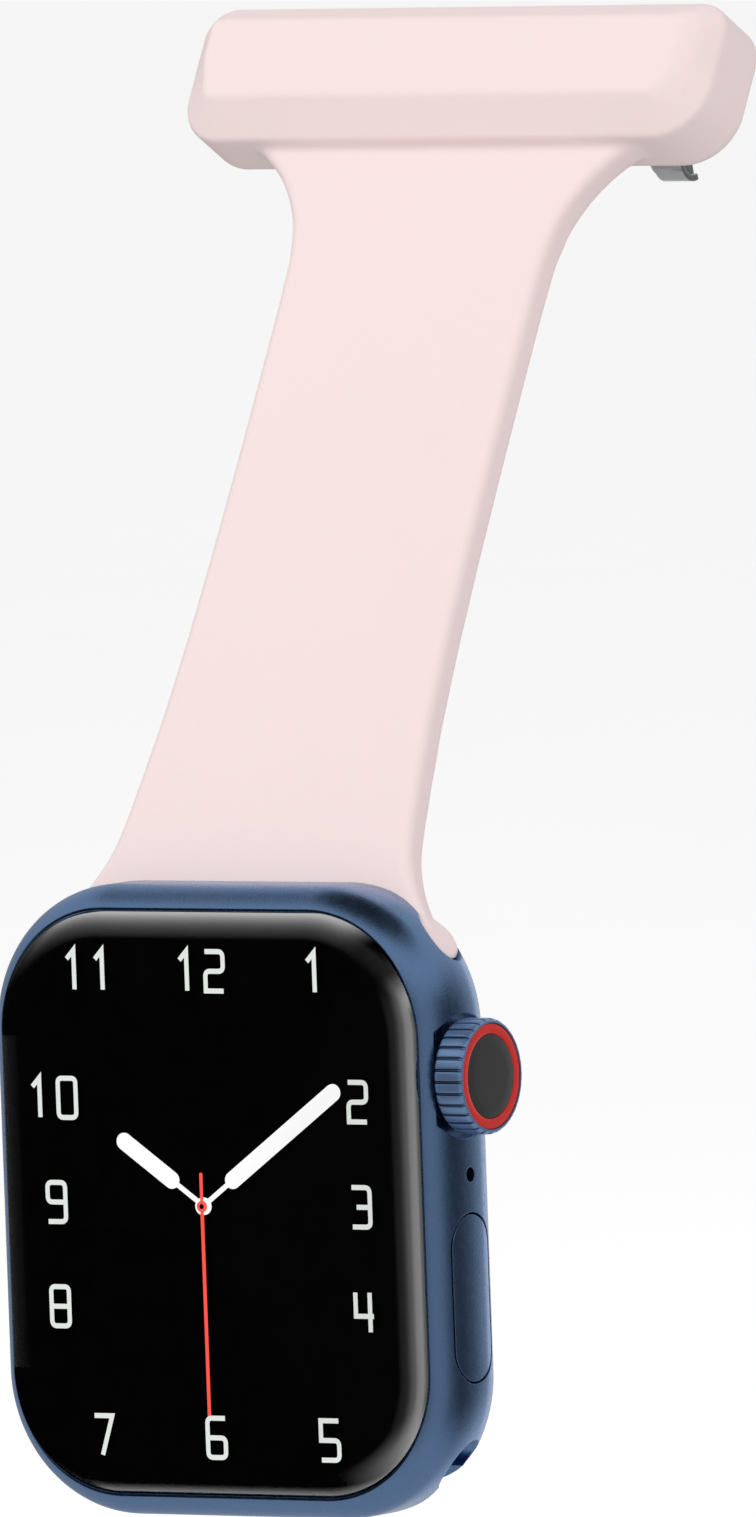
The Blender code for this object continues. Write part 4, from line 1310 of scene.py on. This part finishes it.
def build_catch_housing():
    """An open ring on a block and a foot."""
    housing = open_ring(
        "catch_body", (CATCH_X - 1.18, CATCH_X + 1.18), inner=1.38, outer=1.83, gap_deg=40)
    block = ((CATCH_X - 1.12, CATCH_X + 1.12), (0.2, 0.85), (PIN_U - 0.8, PIN_U + 0.8))
    foot = ((CATCH_X - 1.15, CATCH_X + 2.2), FOOT_W, (PIN_U - 1.2, PIN_U + 1.6))
    join(housing, bar_box("tool", *block), bar_box("tool", *foot))
    soft_edges(housing, width_mm=0.2, segments=4)
    piece(housing, "stainless_steel", "fob", "catch_housing")


def build_catch_lock():
    """An open ring inside the housing, with a round-ended tab."""
    lock = open_ring(
        "catch_turn_lock", (CATCH_X - 1.75, CATCH_X + 1.0), inner=0.62, outer=1.33, gap_deg=46)
    lean = math.radians(60)
    out = np.array([math.cos(lean), math.sin(lean)])
    across = np.array([-math.sin(lean), math.cos(lean)])
    root, tip, half = 1.1, 2.3, 0.35
    end = [(tip + 0.3 * math.cos(a), half * math.sin(a)) for a in np.linspace(-1.3, 1.3, 9)]
    # distance out from the needle's line, distance across
    shape = [(root, -half), (tip, -half), *end, (tip, half), (root, half)]
    tab = [np.array([PIN_W, PIN_U]) + out * reach + across * side for reach, side in shape]
    join(lock, tool(X, tab, CATCH_X - 1.7, CATCH_X - 1.3, bar_frame))
    soft_edges(lock, width_mm=0.06)
    piece(lock, "stainless_steel", "lock", "catch_lock")


# ---------------------------------------------------------------- CAD nodes shown as they are
CARRIED = {
    "bar_core": "dark_grey_polymer", "lug_core": "dark_grey_polymer",
    "lug_latch": "stainless_steel", "latch_spring": "stainless_steel",
    "crystal_gasket": "black_rubber", "battery": "battery_foil",
    "logic_board": "circuit_board", "haptic_motor": "stainless_steel",
    "speaker_module": "dark_grey_polymer", "microphone": "stainless_steel",
    "crown_shaft": "stainless_steel", "crown_bushing": "stainless_steel",
    "crown_seal": "black_rubber", "crown_retainer": "stainless_steel",
    "crown_thrust_plate": "stainless_steel", "crown_switch": "copper",
    "crown_sensor": "dark_grey_polymer", "side_button_switch": "copper",
    "sensor_board": "circuit_board", "charging_coil": "copper",
    "charging_magnet": "magnet_nickel", "release_spring_upper": "stainless_steel",
    "release_spring_lower": "stainless_steel",
}


def dress_carried():
    for node, key in CARRIED.items():
        dress(NODES[node], key)
        smooth(NODES[node], angle=35)


# ---------------------------------------------------------------- studio
# level of the mirrored light at each azimuth (degrees, 0 front, 90 right, 180 back, -90 left)
HORIZON = [
    (-180, 1.1), (-150, 0.7), (-120, 0.4), (-95, 0.5), (-70, 0.3), (-52, 0.004), (-14, 0.004),
    (4, 0.05), (26, 0.24), (46, 0.42), (70, 0.38), (92, 0.13), (112, 0.075), (136, 0.08),
    (152, 0.22), (166, 0.6), (180, 1.0),
]
HORIZON_SCALE = 4  # the colour ramp holds the levels divided by this
# mirrored light away from the horizon: direction z where it starts and is full, level
ABOVE = ((0.22, 0.5), 0.6)
BELOW = ((-0.35, -0.8), 0.5)
ZENITH = ((0.74, 0.92), 0.03)
# diffuse light: its mean, then its change with x, y and z
DIFFUSE_MEAN, DIFFUSE_X, DIFFUSE_Y, DIFFUSE_Z = 0.56, 0.24, -0.27, -0.02
FLOOR_DROP, FLOOR_HALF = 70, 9000
LIGHT_AIM = (0, -0.02, -0.04)  # metres


def horizon_strips(tree, x, y):
    """Strips of light round the horizon, by azimuth from the front towards the right."""
    azimuth = tree.math("ARCTAN2", x, tree.math("MULTIPLY", y, -1.0))
    turn = tree.math("MULTIPLY_ADD", azimuth, 1 / (2 * math.pi), 0.5)
    node = tree.node("ValToRGB", {0: turn})
    node.color_ramp.interpolation = "EASE"
    stops = sorted((0.5 + degrees / 360, level) for degrees, level in HORIZON)
    elements = node.color_ramp.elements
    elements[0].position, elements[1].position = stops[0][0], stops[-1][0]
    for k, (position, level) in enumerate(stops):
        if k == 0:
            stop = elements[0]
        elif k == len(stops) - 1:
            stop = elements[-1]
        else:
            stop = elements.new(position)
        stop.color = (*[level / HORIZON_SCALE] * 3, 1)
    return tree.math("MULTIPLY", node.outputs[0], float(HORIZON_SCALE))


def studio_world():
    """White to the camera, strips to mirrors and a soft gradient to everything else."""
    world = bpy.data.worlds.new("studio")
    scene.world = world
    tree = Tree(world)
    calc = tree.math
    x, y, z = tree.node("SeparateXYZ", {0: tree("TexCoord")}).outputs
    # brightest from the front and the right, and a trace brighter from below
    sideways = calc("ADD", calc("MULTIPLY", x, DIFFUSE_X), calc("MULTIPLY", y, DIFFUSE_Y))
    soft = calc("ADD", sideways, calc("MULTIPLY_ADD", z, DIFFUSE_Z, DIFFUSE_MEAN))
    level = horizon_strips(tree, x, y)
    for span, target in (ABOVE, BELOW, ZENITH):
        share = tree.band(z, span)
        level = tree.remap(share, span=(0.0, 1.0), to=(level, target))
    path = tree.node("LightPath")
    seen = tree.mix_floats(path.outputs["Is Glossy Ray"], soft, level)
    seen = tree.mix_floats(path.outputs["Is Camera Ray"], seen, 1.0)
    ground = tree("Background", {"Color": (1, 1, 1, 1), "Strength": seen})
    tree.node("OutputWorld", {0: ground})


def pale_floor():
    """A wide pale floor well below the hanging watch."""
    z = cad_lo.z * 1000 - FLOOR_DROP
    square = [(-1, -1), (1, -1), (1, 1), (-1, 1)]
    corners = [(x * FLOOR_HALF, y * FLOOR_HALF, z) for x, y in square]
    ob = raw_mesh("studio_floor", corners, [[0, 1, 2, 3]])
    tree = material_tree("floor_white")
    seen = tree("LightPath", out="Is Camera Ray")
    drift = tree.noise(size_mm=60.0, detail=3.0)
    paper = tree.mix(drift, first=(0.93, 0.93, 0.93), second=(0.95, 0.95, 0.95))
    tone = tree.mix(seen, first=(0.42, 0.41, 0.41), second=paper)
    diffuse = tree("BsdfDiffuse", {"Color": tone})
    lift = tree("Emission", {
        "Color": (1.0, 1.0, 1.0), "Strength": tree.math("MULTIPLY", seen, 0.40),
    })
    ob.data.materials.append(tree.surface(tree("AddShader", {0: diffuse, 1: lift})))
    ob.visible_glossy = ob.visible_diffuse = ob.visible_transmission = False


def soft_light(name, place, size, power):
    """A round area light, unseen by the camera and in mirrors; place and size in metres."""
    data = bpy.data.lights.new(name, "AREA")
    data.shape, data.size, data.energy, data.color = "DISK", size, power, (1, 1, 1)
    ob = bpy.data.objects.new(name, data)
    scene.collection.objects.link(ob)
    ob.location = place
    ob.rotation_mode = "QUATERNION"
    ob.rotation_quaternion = (Vector(LIGHT_AIM) - Vector(place)).to_track_quat("-Z", "Y")
    ob.visible_camera = ob.visible_glossy = ob.visible_transmission = False


def camera():
    """Long lens, to the right of the front and a little above, slightly rolled."""
    turn, rise, roll = math.radians(33), math.radians(3.7), math.radians(2.05)
    distance = 1.7957  # metres from the middle of the case
    shift_right, shift_up = 0.009339534, 0.031250152  # metres, along the camera's own axes
    level_right = Vector((math.cos(turn), math.sin(turn), 0))
    back = Vector((
        math.sin(turn) * math.cos(rise), -math.cos(turn) * math.cos(rise), math.sin(rise),
    ))
    level_up = Vector((
        -math.sin(turn) * math.sin(rise), math.cos(turn) * math.sin(rise), math.cos(rise),
    ))
    right = level_right * math.cos(roll) - level_up * math.sin(roll)
    up = level_right * math.sin(roll) + level_up * math.cos(roll)
    place = Vector((0, CASE_Y / 1000, CASE_Z / 1000)) + back * distance
    place = place + right * shift_right + up * shift_up
    data = bpy.data.cameras.new("camera")
    data.lens, data.sensor_width, data.sensor_fit = 600.0, 36, "AUTO"
    data.clip_start, data.clip_end = 0.1, 40
    ob = bpy.data.objects.new("camera", data)
    scene.collection.objects.link(ob)
    ob.matrix_world = Matrix((*zip(right, up, back, place), (0, 0, 0, 1)))
    scene.camera = ob


# ---------------------------------------------------------------- build
build_silicone()
build_case()
build_side_button()
build_glass()
build_ink()
build_numerals()
build_hands()
build_crown()
build_back_glass()
build_lens()
build_sensor_eyes()
build_electrode_ring()
build_release_keys()
build_pin_plate()
build_rivets()
build_hinge_bracket()
build_hinge_axle()
build_needle()
build_catch_housing()
build_catch_lock()
dress_carried()

studio_world()
pale_floor()
soft_light("key", place=(-0.30, -0.67, 0.74), size=0.7, power=4.4)
soft_light("back_fill", place=(0.62, 0.72, 0.30), size=0.7, power=1.7)
camera()
scene.view_settings.view_transform = "Standard"
scene.view_settings.look = "None"
